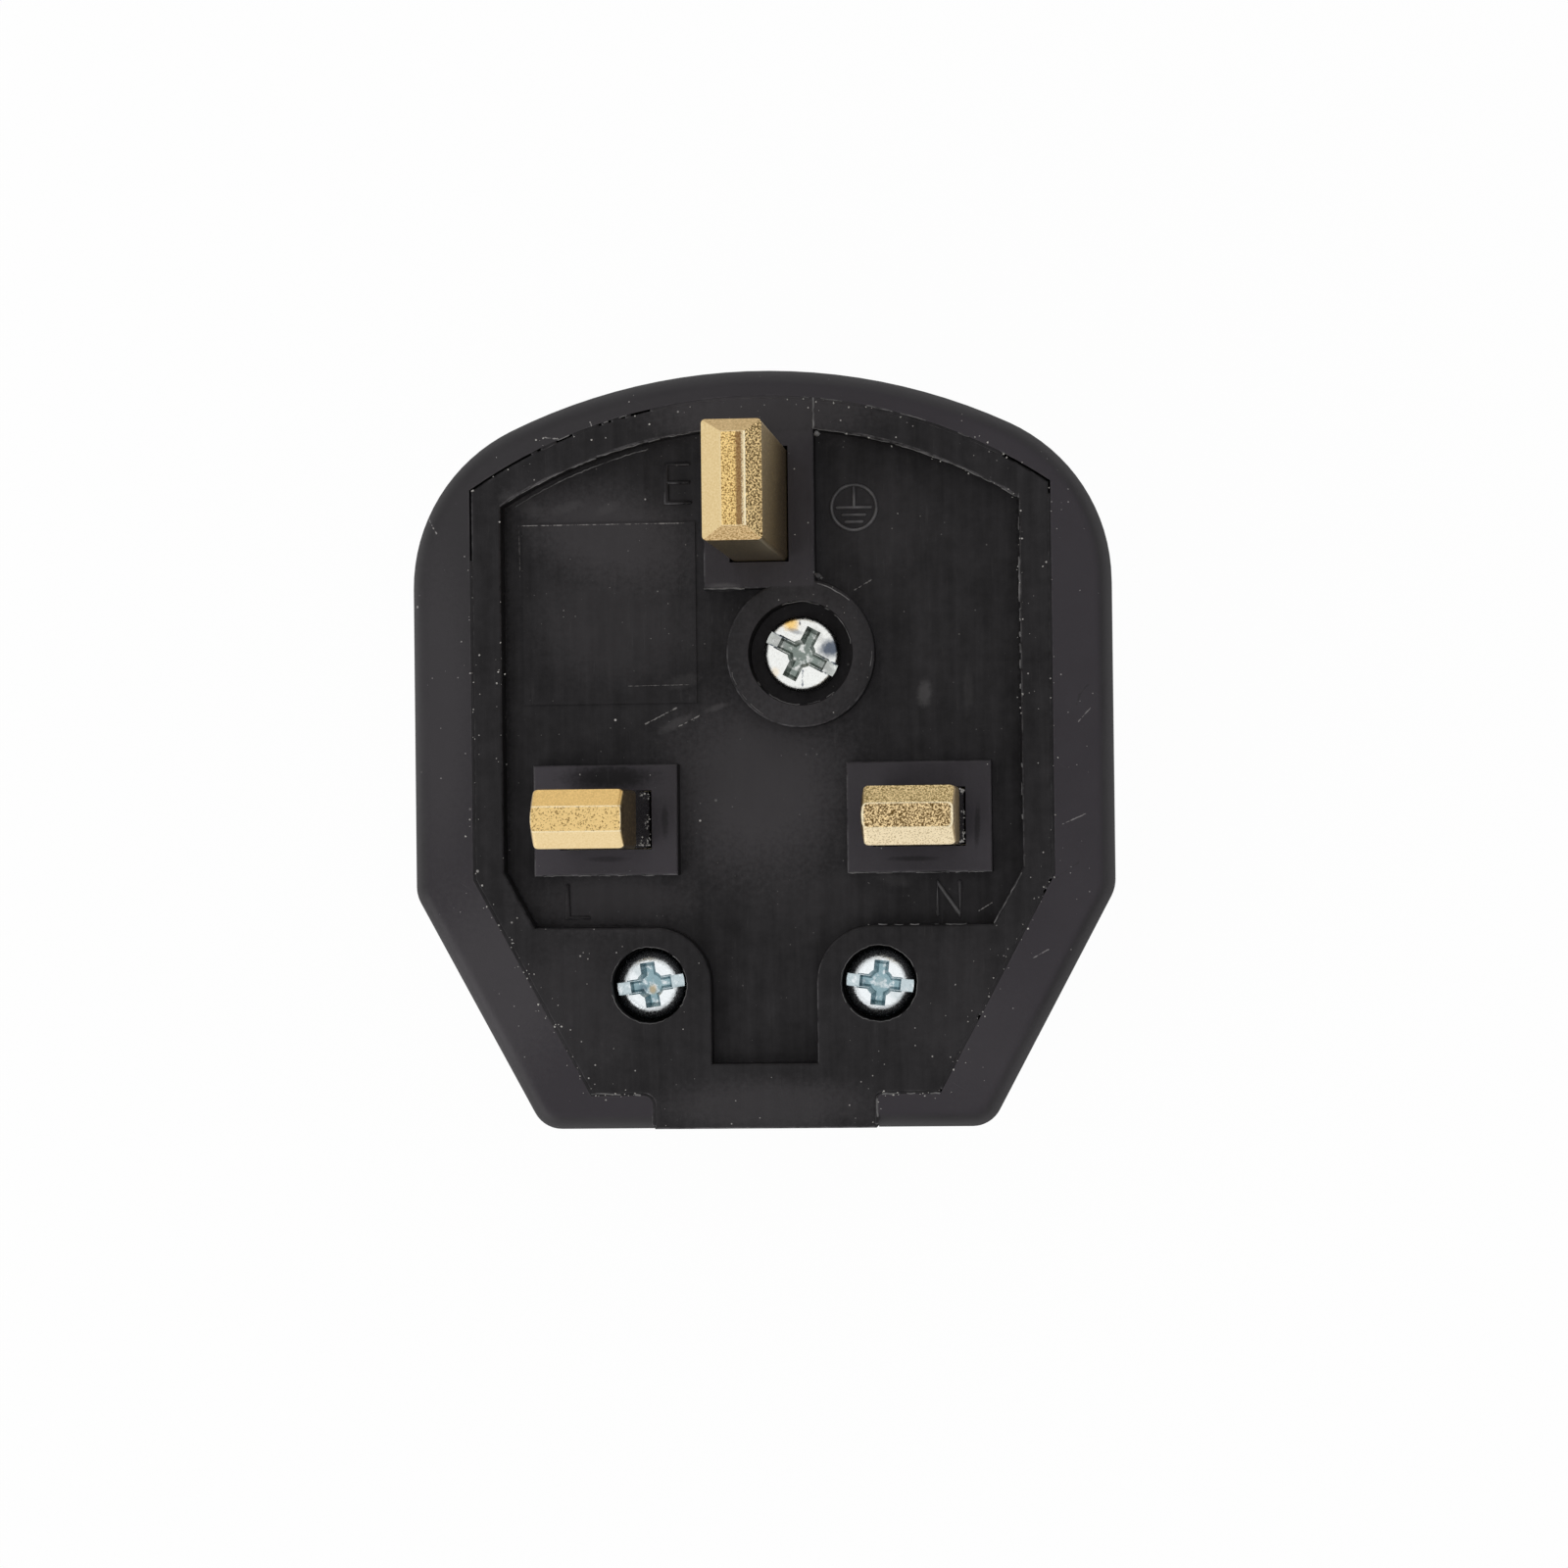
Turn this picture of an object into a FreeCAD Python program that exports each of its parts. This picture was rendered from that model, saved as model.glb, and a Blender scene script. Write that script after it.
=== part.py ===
import FreeCAD, Part
import math
import os

# Rectangular pins of the 13 A pattern, in millimetres
live_pin_width = 6.35          # line and neutral, along X
live_pin_thickness = 3.975     # line and neutral, along Y
live_pin_reach = 17.7          # engagement face to tip
live_pin_offset = 11.115       # line and neutral from the centre line
earth_pin_width = 4.0          # along X
earth_pin_thickness = 8.0      # along Y
earth_pin_reach = 22.73        # engagement face to tip
earth_pin_rise = 22.23         # above the line through the other two
pin_edge_round = 0.3           # long edges of the pins
live_pin_bulge = 0.25          # narrow side towards -X is drawn slightly round
tip_length = 1.0               # length of the slopes at a pin tip
live_tip_width_cut = 0.12      # taken off each narrow side at the tip
live_tip_thickness_cut = 1.15  # taken off each broad side at the tip
earth_tip_left_cut = 1.4       # taken off the side towards -X at the tip
earth_tip_right_cut = 1.0
earth_tip_thickness_cut = 0.9
sleeve_reach = 9.3             # engagement face to the end of the sleeve
sleeve_wall = 0.5
sleeve_tuck = 1.5              # sleeve inside the slot of the base

# Cover outline, heights measured from the line through line and neutral
cover_half_width = 24.85
cover_rise = 31.8
cover_drop = 21.9
cover_crown_radius = 41.5
cover_shoulder_radius = 12.4
cover_side_corner_drop = 5.2   # where the straight side meets the diagonal
cover_side_corner_radius = 2.5
cover_bottom_corner_radius = 2.2
diagonal_angle = 28.2          # degrees from upright
body_depth = 26.0              # back of the cover to the engagement face
rim_depth = 6.0                # upright band behind the engagement face
cover_side_taper = 2.2         # sides draw in from rim to back bevel
cover_crown_taper = 1.2
bevel_height = 4.0             # bevel round the back
bevel_width = 2.8
rim_edge_round = 1.3
bevel_edge_round = 1.2
cover_back_wall = 3.0
cover_ledge = 1.2              # seat for the base skirt
cover_crown_ledge = 2.4

# Base moulding outline inside the rim of the cover
rim_width = 4.35               # cover rim beside and below the base
rim_crown_width = 2.0
rim_bottom_width = 2.5
base_crown_radius = 36.5
base_fit = 0.12                # gap between base and cover
base_skirt_depth = 8.5         # engagement face to the seat on the cover
base_skirt_wall = 1.6
base_plate = 4.0               # thickness of the face plate
tongue_half_width = 7.85
tongue_corner_rounds = (0.8, 0.4)   # beside the tongue, left and right
mould_edge_round = 0.2         # softened edges of the face

# Hollow moulded into the face of the base
recess_depth = 2.0
recess_band = 2.1              # flush band left round the edge
recess_drop = 7.6              # lower edge, below the pin line
channel_half_width = 3.75
channel_drop = 17.3
pad_margin = 1.95              # flush pad left round each pin
slot_fit = 0.1                 # gap between pin and slot
panel_width = 12.4             # plain raised panel
panel_height = 12.9
panel_raise = 0.15
panel_left = 17.1
panel_bottom_rise = 8.3

# Screw through the base into the pillar of the cover
cover_screw_x = 2.85
cover_screw_rise = 11.65
cover_screw_radius = 1.5
cover_screw_head_radius = 2.68
cover_screw_head_height = 2.0
cover_screw_head_round = 0.35
cover_screw_cross_reach = 1.95
cover_screw_sink = 1.2         # top of the head below the face
cover_screw_length = 11.5
cover_screw_turn = -28.0       # way the slot points
cover_bore_radius = 3.72
cover_boss_radius = 5.25
cover_boss_plate = 3.8         # boss under the screw head
washer_radius = 3.0
washer_thickness = 0.6
washer_gap = 0.2               # washer to pillar
insert_radius = 2.6
insert_length = 8.0
pillar_radius = 4.2
pillar_run_out = 2.0           # room past the screw end

# Cord entry and grip
cord_radius = 4.5
grip_screw_offset = 8.15
grip_screw_drop = 11.7
grip_screw_radius = 1.4
grip_screw_head_radius = 2.5
grip_screw_head_height = 2.0
grip_screw_head_round = 1.0
grip_screw_cross_reach = 1.6
grip_screw_sink = 0.8
grip_screw_turns = (8.0, -6.5)
grip_bore_radius = 2.68
grip_post_radius = 3.0
grip_post_height = 3.0         # below the plate of the base
grip_bar_foot_radius = 2.9
grip_bar_foot_length = 6.5
grip_bar_thickness = 3.5
grip_ridge_height = 0.8
grip_ridge_width = 1.0
grip_ridge_pitch = 3.0
screw_past_bar = 0.7

# Screw heads, driven by a slot or a cross
drive_slot_width = 0.88
drive_slot_depth = 0.55
drive_cross_width = 1.05
drive_cross_depth = 1.3
drive_cone_radius = 1.0        # middle of the cross
drive_draft = 0.3              # cross draws in towards its bottom
screw_hole_fit = 0.2           # gap round a screw in a plain hole
thread_fit = 0.03              # gap at a thread or a pressed-in piece

# Terminals
terminal_block_width = 5.4
terminal_block_height = 8.5
terminal_shoulder = 0.55       # head of a pin beyond its slot
wire_hole_radius = 1.7
terminal_screw_radius = 1.6
terminal_screw_head_radius = 2.4
terminal_screw_head_height = 1.8
terminal_screw_head_round = 0.5
terminal_screw_length = 4.0
neutral_block_length = 9.5
line_block_width = 4.8
line_block_length = 7.0
partition_wall = 1.0
partition_height = 7.0
partition_gap = 0.5

# Cartridge fuse and its clips
fuse_length = 25.4
fuse_radius = 3.175
fuse_cap_length = 5.6
fuse_cap_wall = 0.32
fuse_cap_end = 0.4
fuse_bore_radius = 1.75
fuse_element_radius = 0.25
fuse_side_gap = 0.45           # clip arms to the line terminal
fuse_foot_drop = 4.2           # lower end, below the pin line
clip_sheet = 0.45
clip_strip = 0.6
clip_length = 4.5
clip_inset = 0.5               # clip from the end of the fuse
clip_opening = 48.0            # half angle of the mouth, degrees
clip_lip = 0.8
clip_seat_height = 2.0         # plate of the line pin and platform of the base
rivet_radius = 1.0
rivet_head_radius = 1.5
rivet_head_height = 0.6
rivet_depth = 1.2              # spigot of the line terminal in the base

# Ribs of the cover that keep the pins down
rib_wall = 1.4
rib_gap = 0.3
room_gap = 0.3                 # space kept round pin heads, terminal and fuse

# Heights, from the back of the cover
face_z = body_depth
plate_z = face_z - base_plate
seat_z = face_z - base_skirt_depth
recess_z = face_z - recess_depth
clip_seat_z = plate_z - clip_seat_height
strip_z = clip_seat_z - clip_strip
terminal_z = plate_z - terminal_block_height
fuse_z = strip_z - fuse_radius - thread_fit
boss_z = face_z - cover_screw_sink - cover_screw_head_height - cover_boss_plate
washer_z = boss_z - washer_thickness
pillar_z = washer_z - washer_gap
post_z = plate_z - grip_post_height

# Places along Y, with the middle of the cover at zero
pin_line_y = (cover_drop - cover_rise) / 2
cover_top_y = pin_line_y + cover_rise
cover_bottom_y = pin_line_y - cover_drop
base_top_y = cover_top_y - rim_crown_width
base_bottom_y = cover_bottom_y + rim_bottom_width
earth_y = pin_line_y + earth_pin_rise
recess_bottom_y = pin_line_y - recess_drop
channel_bottom_y = pin_line_y - channel_drop
cover_screw_y = pin_line_y + cover_screw_rise
grip_y = pin_line_y - grip_screw_drop
fuse_y = pin_line_y - fuse_foot_drop
fuse_top_y = fuse_y + fuse_length
load_clip_y = fuse_top_y - clip_inset - clip_length
line_clip_y = fuse_y + clip_inset
line_block_y = load_clip_y + clip_length - line_block_length
earth_block_length = earth_pin_thickness + 2 * (slot_fit + terminal_shoulder)
neutral_block_width = live_pin_width + 2 * (slot_fit + terminal_shoulder)
neutral_block_y = pin_line_y - live_pin_thickness / 2 - slot_fit - 2 * terminal_shoulder
earth_block_y = earth_y - earth_block_length / 2
partition_x = terminal_block_width / 2 + partition_gap
line_block_x = -partition_x - partition_wall - partition_gap - line_block_width
clip_reach = fuse_radius + thread_fit + clip_sheet
fuse_x = line_block_x - fuse_side_gap - clip_reach
line_plate_right = -live_pin_offset + live_pin_width / 2 + slot_fit + terminal_shoulder
line_plate_top_y = pin_line_y + live_pin_thickness / 2 + slot_fit + terminal_shoulder
rivet_x = -live_pin_offset + live_pin_width / 2 - rivet_radius
clear = 1.0                    # cutters run this far past a surface
slack = 1e-4                   # places closer than this count as the same


def box(x0, x1, y0, y1, z0, z1):
    return Part.makeBox(x1 - x0, y1 - y0, z1 - z0, FreeCAD.Vector(x0, y0, z0))


def rod(radius, x, y, z0, z1):
    return Part.makeCylinder(radius, z1 - z0, FreeCAD.Vector(x, y, z0))


def lying_rod(radius, x, z, y0, y1):
    along_y = FreeCAD.Vector(0, 1, 0)
    return Part.makeCylinder(radius, y1 - y0, FreeCAD.Vector(x, y0, z), along_y)


def joined(first, *rest):
    return first.fuse(list(rest)).removeSplitter()


def level_edges(shape, z):
    return [e for e in shape.Edges
            if abs(e.BoundBox.ZMin - z) < slack and abs(e.BoundBox.ZMax - z) < slack]


# Right half of a shield outline, moved in by an inset: shoulder, side corner and bottom corner
def shield_points(inset, crown_y, crown_radius, bottom_y):
    turn = math.radians(diagonal_angle)
    half_width = cover_half_width - inset
    side_corner_y = pin_line_y - cover_side_corner_drop
    line = math.cos(turn) * cover_half_width - math.sin(turn) * side_corner_y - inset
    shoulder = FreeCAD.Vector(half_width, crown_y + math.sqrt(crown_radius ** 2 - half_width ** 2), 0)
    side = FreeCAD.Vector(half_width, (math.cos(turn) * half_width - line) / math.sin(turn), 0)
    bottom = FreeCAD.Vector((line + math.sin(turn) * bottom_y) / math.cos(turn), bottom_y, 0)
    return shoulder, side, bottom


# Sharp-cornered shield with a crown arc, as a solid between two heights
def sharp_shield(inset, top_y, crown_radius, bottom_y, z0, z1):
    points = shield_points(inset, top_y - crown_radius, crown_radius, bottom_y)
    left = [FreeCAD.Vector(-p.x, p.y, 0) for p in points]
    crown = Part.Arc(left[0], FreeCAD.Vector(0, top_y, 0), points[0]).toShape()
    run = list(points) + left[::-1]
    lines = [Part.makeLine(a, b) for a, b in zip(run, run[1:])]
    face = Part.Face(Part.Wire([crown] + lines))
    face.translate(FreeCAD.Vector(0, 0, z0))
    return face.extrude(FreeCAD.Vector(0, 0, z1 - z0))


# Shield that follows the outline of the base, moved in all round
def base_shield(inset, z0, z1):
    return sharp_shield(rim_width + inset, base_top_y - inset, base_crown_radius - inset,
                        base_bottom_y + inset, z0, z1)


# Tangent arc in the corner between two straight runs: start, middle and end
def corner_arc(before, corner, after, radius):
    back = (before - corner).normalize()
    ahead = (after - corner).normalize()
    half = back.getAngle(ahead) / 2
    start = corner + back * (radius / math.tan(half))
    end = corner + ahead * (radius / math.tan(half))
    centre = corner + (back + ahead).normalize() * (radius / math.sin(half))
    return start, centre + (corner - centre).normalize() * radius, end


# Outline of the cover with rounded corners, at one height
def cover_outline(side_inset, crown_inset, bottom_inset, z):
    crown_radius = cover_crown_radius - crown_inset
    crown = FreeCAD.Vector(0, cover_top_y - cover_crown_radius, 0)
    half_width = cover_half_width - side_inset
    bottom_y = cover_bottom_y + bottom_inset
    top, side, bottom = shield_points(side_inset, crown.y, crown_radius, bottom_y)
    reach = half_width - cover_shoulder_radius
    rise = math.sqrt((crown_radius - cover_shoulder_radius) ** 2 - reach ** 2)
    shoulder = crown + FreeCAD.Vector(reach, rise, 0)
    outward = (shoulder - crown).normalize()
    across = FreeCAD.Vector(1, 0, 0)
    crown_end = crown + outward * crown_radius
    shoulder_middle = shoulder + (outward + across).normalize() * cover_shoulder_radius
    shoulder_end = shoulder + across * cover_shoulder_radius
    side_arc = corner_arc(shoulder_end, side, bottom, cover_side_corner_radius)
    level = FreeCAD.Vector(0, bottom_y, 0)
    bottom_arc = corner_arc(side, bottom, level, cover_bottom_corner_radius)

    def flip(p):
        return FreeCAD.Vector(-p.x, p.y, p.z)

    right = [Part.Arc(crown_end, shoulder_middle, shoulder_end).toShape(),
             Part.makeLine(shoulder_end, side_arc[0]),
             Part.Arc(*side_arc).toShape(),
             Part.makeLine(side_arc[2], bottom_arc[0]),
             Part.Arc(*bottom_arc).toShape()]
    left = [Part.Arc(*[flip(p) for p in bottom_arc[::-1]]).toShape(),
            Part.makeLine(flip(bottom_arc[0]), flip(side_arc[2])),
            Part.Arc(*[flip(p) for p in side_arc[::-1]]).toShape(),
            Part.makeLine(flip(side_arc[0]), flip(shoulder_end)),
            Part.Arc(flip(shoulder_end), flip(shoulder_middle), flip(crown_end)).toShape()]
    apex = FreeCAD.Vector(0, crown.y + crown_radius, 0)
    crown_arc = Part.Arc(flip(crown_end), apex, crown_end).toShape()
    floor_line = Part.makeLine(bottom_arc[2], flip(bottom_arc[2]))
    wire = Part.Wire([crown_arc] + right + [floor_line] + left)
    wire.translate(FreeCAD.Vector(0, 0, z))
    return wire


# Outer form of the cover: drawn-in sides, a bevel round the flat back, a rounded rim
def cover_form():
    back = cover_outline(cover_side_taper + bevel_width, cover_crown_taper + bevel_width, bevel_width, 0)
    waist = cover_outline(cover_side_taper, cover_crown_taper, 0, bevel_height)
    rim = cover_outline(0, 0, 0, face_z - rim_depth)
    front = cover_outline(0, 0, 0, face_z)
    form = joined(*[Part.makeLoft([low, high], True, True)
                    for low, high in ((back, waist), (waist, rim), (rim, front))])
    form = form.makeFillet(rim_edge_round, level_edges(form, face_z))
    return form.makeFillet(bevel_edge_round, level_edges(form, 0) + level_edges(form, bevel_height))


def cord_hole():
    return lying_rod(cord_radius, 0, seat_z, cover_bottom_y - clear, channel_bottom_y)


# Fillets in the corners beside the tongue, from the seat upwards and short of the base by a gap
def tongue_corners(gap, z1):
    corners = []
    for side, radius in zip((-1, 1), tongue_corner_rounds):
        near_x = side * (tongue_half_width + gap)
        middle_x = side * (tongue_half_width + radius)
        middle_y = base_bottom_y - radius
        corner = box(min(near_x, middle_x), max(near_x, middle_x), middle_y, base_bottom_y - gap, seat_z, z1)
        corners.append(corner.cut(rod(radius - gap, middle_x, middle_y, seat_z, z1)))
    return corners


def cover_shell():
    shell = cover_form()
    inner = sharp_shield(rim_width + cover_ledge, base_top_y - cover_crown_ledge,
                         base_crown_radius - cover_crown_ledge, base_bottom_y + cover_ledge,
                         cover_back_wall, seat_z)
    opening = base_shield(-base_fit, seat_z, face_z + clear)
    tongue_slot = box(-tongue_half_width - base_fit, tongue_half_width + base_fit,
                      cover_bottom_y - clear, base_bottom_y, seat_z, face_z + clear)
    shell = shell.cut([inner, opening, tongue_slot, cord_hole()] + tongue_corners(base_fit, face_z + clear))
    pillar = rod(pillar_radius, cover_screw_x, cover_screw_y, cover_back_wall, pillar_z)
    bore = rod(insert_radius + thread_fit, cover_screw_x, cover_screw_y,
               pillar_z - insert_length, pillar_z + clear)
    screw_end_z = boss_z + cover_boss_plate - cover_screw_length
    run_out = rod(cover_screw_radius + screw_hole_fit, cover_screw_x, cover_screw_y,
                  screw_end_z - pillar_run_out, pillar_z)
    shell = shell.fuse([pillar] + hold_down_ribs())
    return shell.cut([bore, run_out] + inner_rooms()).removeSplitter()


# Ribs that stand on the back wall and stop just short of each pin head
def hold_down_ribs():
    earth_end = earth_block_y + earth_block_length
    earth_rib = box(-terminal_block_width / 2, terminal_block_width / 2, earth_end - rib_wall, earth_end,
                    cover_back_wall, terminal_z - rib_gap)
    neutral_rib = box(live_pin_offset - neutral_block_width / 2, live_pin_offset + neutral_block_width / 2,
                      neutral_block_y, neutral_block_y + rib_wall,
                      cover_back_wall, terminal_z - rib_gap)
    line_rib_x = fuse_x + clip_reach + clip_inset
    line_rib_y = pin_line_y + rivet_head_radius + rib_gap
    line_rib = box(line_rib_x, line_plate_right, line_rib_y, line_rib_y + rib_wall,
                   cover_back_wall, strip_z - rib_gap)
    return [earth_rib, neutral_rib, line_rib]


# Space that the walls of cover and base leave to the pin heads, the line terminal and the fuse
def inner_rooms():
    low_z = terminal_z - rib_gap / 2
    earth_x = terminal_block_width / 2 + room_gap
    neutral_x = neutral_block_width / 2 + room_gap
    return [box(-earth_x, earth_x, earth_block_y - room_gap, earth_block_y + earth_block_length + room_gap,
                low_z, plate_z),
            box(live_pin_offset - neutral_x, live_pin_offset + neutral_x, neutral_block_y - room_gap,
                neutral_block_y + neutral_block_length + room_gap, low_z, plate_z),
            box(fuse_x - fuse_radius - room_gap, line_plate_right + room_gap, line_clip_y - room_gap,
                line_plate_top_y + room_gap, clip_seat_z, plate_z),
            box(line_block_x - room_gap, line_block_x + line_block_width + room_gap, line_block_y - room_gap,
                line_block_y + line_block_length + room_gap, low_z, clip_seat_z),
            box(fuse_x - clip_reach - room_gap, fuse_x + clip_reach + room_gap, fuse_y - room_gap,
                fuse_top_y + room_gap, fuse_z - clip_reach - room_gap, clip_seat_z)]


# Flush pads round the pins, the screw boss and the raised panel, all inside the recess
def face_pads():
    live_x = live_pin_width / 2 + pad_margin
    live_y = live_pin_thickness / 2 + pad_margin
    earth_x = earth_pin_width / 2 + pad_margin
    earth_low = earth_y - earth_pin_thickness / 2 - pad_margin
    pads = [box(side * live_pin_offset - live_x, side * live_pin_offset + live_x,
                pin_line_y - live_y, pin_line_y + live_y, recess_z, face_z) for side in (-1, 1)]
    pads.append(box(-earth_x, earth_x, earth_low, base_top_y - recess_band, recess_z, face_z))
    pads.append(rod(cover_boss_radius, cover_screw_x, cover_screw_y, recess_z, face_z))
    panel_y = pin_line_y + panel_bottom_rise
    pads.append(box(-panel_left, -panel_left + panel_width, panel_y, panel_y + panel_height,
                    recess_z, recess_z + panel_raise))
    return pads


# Recess above the grip screws, with a channel that runs down between their rounded islands
def face_recess():
    top = sharp_shield(rim_width + recess_band, base_top_y - recess_band, base_crown_radius - recess_band,
                       recess_bottom_y, recess_z, face_z + clear)
    channel = box(-channel_half_width, channel_half_width, channel_bottom_y, recess_bottom_y,
                  recess_z, face_z + clear)
    recess = joined(top, channel)
    inner_corners = [e for e in recess.Edges
                     if len(e.Vertexes) == 2
                     and all(abs(abs(v.X) - channel_half_width) < slack for v in e.Vertexes)
                     and all(abs(v.Y - recess_bottom_y) < slack for v in e.Vertexes)]
    island_radius = grip_screw_drop - recess_drop
    recess = recess.makeFillet(island_radius, inner_corners)
    return recess.cut(joined(*face_pads())).removeSplitter()


def pin_slots():
    live_x = live_pin_width / 2 + slot_fit
    live_y = live_pin_thickness / 2 + slot_fit
    earth_x = earth_pin_width / 2 + slot_fit
    earth_half = earth_pin_thickness / 2 + slot_fit
    slots = [box(side * live_pin_offset - live_x, side * live_pin_offset + live_x,
                 pin_line_y - live_y, pin_line_y + live_y, plate_z - clear, face_z + clear)
             for side in (-1, 1)]
    slots.append(box(-earth_x, earth_x, earth_y - earth_half, earth_y + earth_half,
                     plate_z - clear, face_z + clear))
    return slots


# Walls, posts and platform on the inside of the base
def base_inner_forms():
    skirt = base_shield(0, seat_z, plate_z).cut(base_shield(base_skirt_wall, seat_z, plate_z))
    forms = [skirt, rod(cover_boss_radius, cover_screw_x, cover_screw_y, boss_z, plate_z)]
    for side in (-1, 1):
        forms.append(rod(grip_post_radius, side * grip_screw_offset, grip_y, post_z, plate_z))
    wall_low = cover_screw_y + cover_boss_radius
    wall_high = earth_block_y + earth_block_length
    for side in (-1, 1):
        inner_x = side * partition_x
        outer_x = side * (partition_x + partition_wall)
        forms.append(box(min(inner_x, outer_x), max(inner_x, outer_x), wall_low, wall_high,
                         plate_z - partition_height, plate_z))
    forms.append(box(fuse_x - fuse_radius, line_block_x + line_block_width, line_block_y,
                     line_block_y + line_block_length, clip_seat_z, plate_z))
    for side in (-1, 1):
        ridge_y = grip_y + side * grip_ridge_pitch / 2
        forms.append(box(-channel_half_width, channel_half_width, ridge_y - grip_ridge_width / 2,
                         ridge_y + grip_ridge_width / 2, plate_z - grip_ridge_height, plate_z))
    return forms


# Holes for the screws and for the spigot of the line terminal
def base_holes():
    head_z = face_z - cover_screw_sink - cover_screw_head_height
    holes = [rod(cover_bore_radius, cover_screw_x, cover_screw_y, head_z, face_z + clear),
             rod(cover_screw_radius + screw_hole_fit, cover_screw_x, cover_screw_y,
                 boss_z - clear, face_z)]
    grip_head_z = face_z - grip_screw_sink - grip_screw_head_height
    for side in (-1, 1):
        holes.append(rod(grip_bore_radius, side * grip_screw_offset, grip_y, grip_head_z, face_z + clear))
        holes.append(rod(grip_screw_radius + screw_hole_fit, side * grip_screw_offset, grip_y,
                         post_z - clear, face_z))
    spigot_x, spigot_y = line_spigot_place()
    holes.append(rod(rivet_radius + thread_fit, spigot_x, spigot_y, clip_seat_z - clear,
                     clip_seat_z + rivet_depth + thread_fit))
    return holes


def base_moulding():
    plate = base_shield(0, plate_z, face_z)
    tongue = box(-tongue_half_width, tongue_half_width, cover_bottom_y, base_bottom_y + base_skirt_wall,
                 seat_z, face_z)
    body = joined(plate, tongue, *tongue_corners(0, face_z)).cut(face_recess()).removeSplitter()
    body = body.makeFillet(mould_edge_round, level_edges(body, face_z))
    skirt, *others = base_inner_forms()
    inner = skirt.fuse(others).cut(inner_rooms())
    return body.fuse(inner).cut(pin_slots() + base_holes() + [cord_hole()]).removeSplitter()


# Pin with its long edges softened, from foot to tip
def soft_edged(bar):
    upright = [e for e in bar.Edges if e.BoundBox.ZLength > tip_length / 2]
    return bar.makeFillet(pin_edge_round, upright)


# Section of a line or neutral pin, with its narrow side towards -X drawn round
def live_pin_section(x, z, half_x, half_y, bulge):
    corners = [(bulge - half_x, -half_y), (half_x, -half_y), (half_x, half_y), (bulge - half_x, half_y)]
    points = [FreeCAD.Vector(x + cx, pin_line_y + cy, z) for cx, cy in corners]
    edges = [Part.makeLine(a, b) for a, b in zip(points, points[1:])]
    middle = FreeCAD.Vector(x - half_x, pin_line_y, z)
    edges.append(Part.Arc(points[3], middle, points[0]).toShape())
    return Part.Wire(edges)


# Straight bar with slopes on all four sides of the tip
def live_pin_bar(side, z0):
    x = side * live_pin_offset
    tip_z = face_z + live_pin_reach
    neck_z = tip_z - tip_length
    half_x = live_pin_width / 2
    half_y = live_pin_thickness / 2
    tip_half_x = half_x - live_tip_width_cut
    tip_half_y = half_y - live_tip_thickness_cut
    foot = live_pin_section(x, z0, half_x, half_y, live_pin_bulge)
    neck = live_pin_section(x, neck_z, half_x, half_y, live_pin_bulge)
    tip = live_pin_section(x, tip_z, tip_half_x, tip_half_y, live_pin_bulge * tip_half_y / half_y)
    shaft = Part.Face(foot).extrude(FreeCAD.Vector(0, 0, neck_z - z0))
    return soft_edged(joined(shaft, Part.makeLoft([neck, tip], True, True)))


# Side view of the earth pin: distance from its middle, and height
def earth_pin_outline(half, low_cut, high_cut):
    tip_z = face_z + earth_pin_reach
    neck_z = tip_z - tip_length
    return [(-half, plate_z), (half, plate_z), (half, neck_z),
            (half - high_cut, tip_z), (low_cut - half, tip_z), (-half, neck_z)]


# Straight bar cut down to its two side views, swept across each other
def earth_pin_bar():
    half_x = earth_pin_width / 2
    half_y = earth_pin_thickness / 2
    front = [FreeCAD.Vector(u, earth_y - half_y, z)
             for u, z in earth_pin_outline(half_x, earth_tip_left_cut, earth_tip_right_cut)]
    flank = [FreeCAD.Vector(-half_x, earth_y + u, z)
             for u, z in earth_pin_outline(half_y, earth_tip_thickness_cut, earth_tip_thickness_cut)]
    front_slab = Part.Face(Part.makePolygon(front + front[:1])).extrude(FreeCAD.Vector(0, 2 * half_y, 0))
    flank_slab = Part.Face(Part.makePolygon(flank + flank[:1])).extrude(FreeCAD.Vector(2 * half_x, 0, 0))
    bar = box(-half_x, half_x, earth_y - half_y, earth_y + half_y, plate_z, face_z + earth_pin_reach)
    return soft_edged(bar).common(front_slab).common(flank_slab).removeSplitter()


# Sleeve round the waist of a line or neutral pin, flush with the pin
def live_pin_sleeve(side):
    x = side * live_pin_offset
    outer = live_pin_bar(side, face_z - sleeve_tuck)
    band = box(x - live_pin_width, x + live_pin_width, pin_line_y - live_pin_width,
               pin_line_y + live_pin_width, face_z - sleeve_tuck, face_z + sleeve_reach)
    core_x = live_pin_width / 2 - sleeve_wall
    core_y = live_pin_thickness / 2 - sleeve_wall
    core = box(x - core_x, x + core_x, pin_line_y - core_y, pin_line_y + core_y,
               face_z - sleeve_tuck, face_z + sleeve_reach)
    return outer.common(band).cut(core)


def live_pin(side):
    return live_pin_bar(side, plate_z).cut(live_pin_sleeve(side))


# Brass block with a hole for the wire and a threaded hole for its screw
def terminal_block(x0, x1, y0, y1, z0, z1, screw_y):
    middle_x = (x0 + x1) / 2
    block = box(x0, x1, y0, y1, z0, z1)
    wire = lying_rod(wire_hole_radius, middle_x, (z0 + z1) / 2, y0 - clear, y1 + clear)
    thread = rod(terminal_screw_radius + thread_fit, middle_x, screw_y, z0 - clear,
                 z0 + terminal_screw_length + thread_fit)
    return block.cut([wire, thread])


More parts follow.
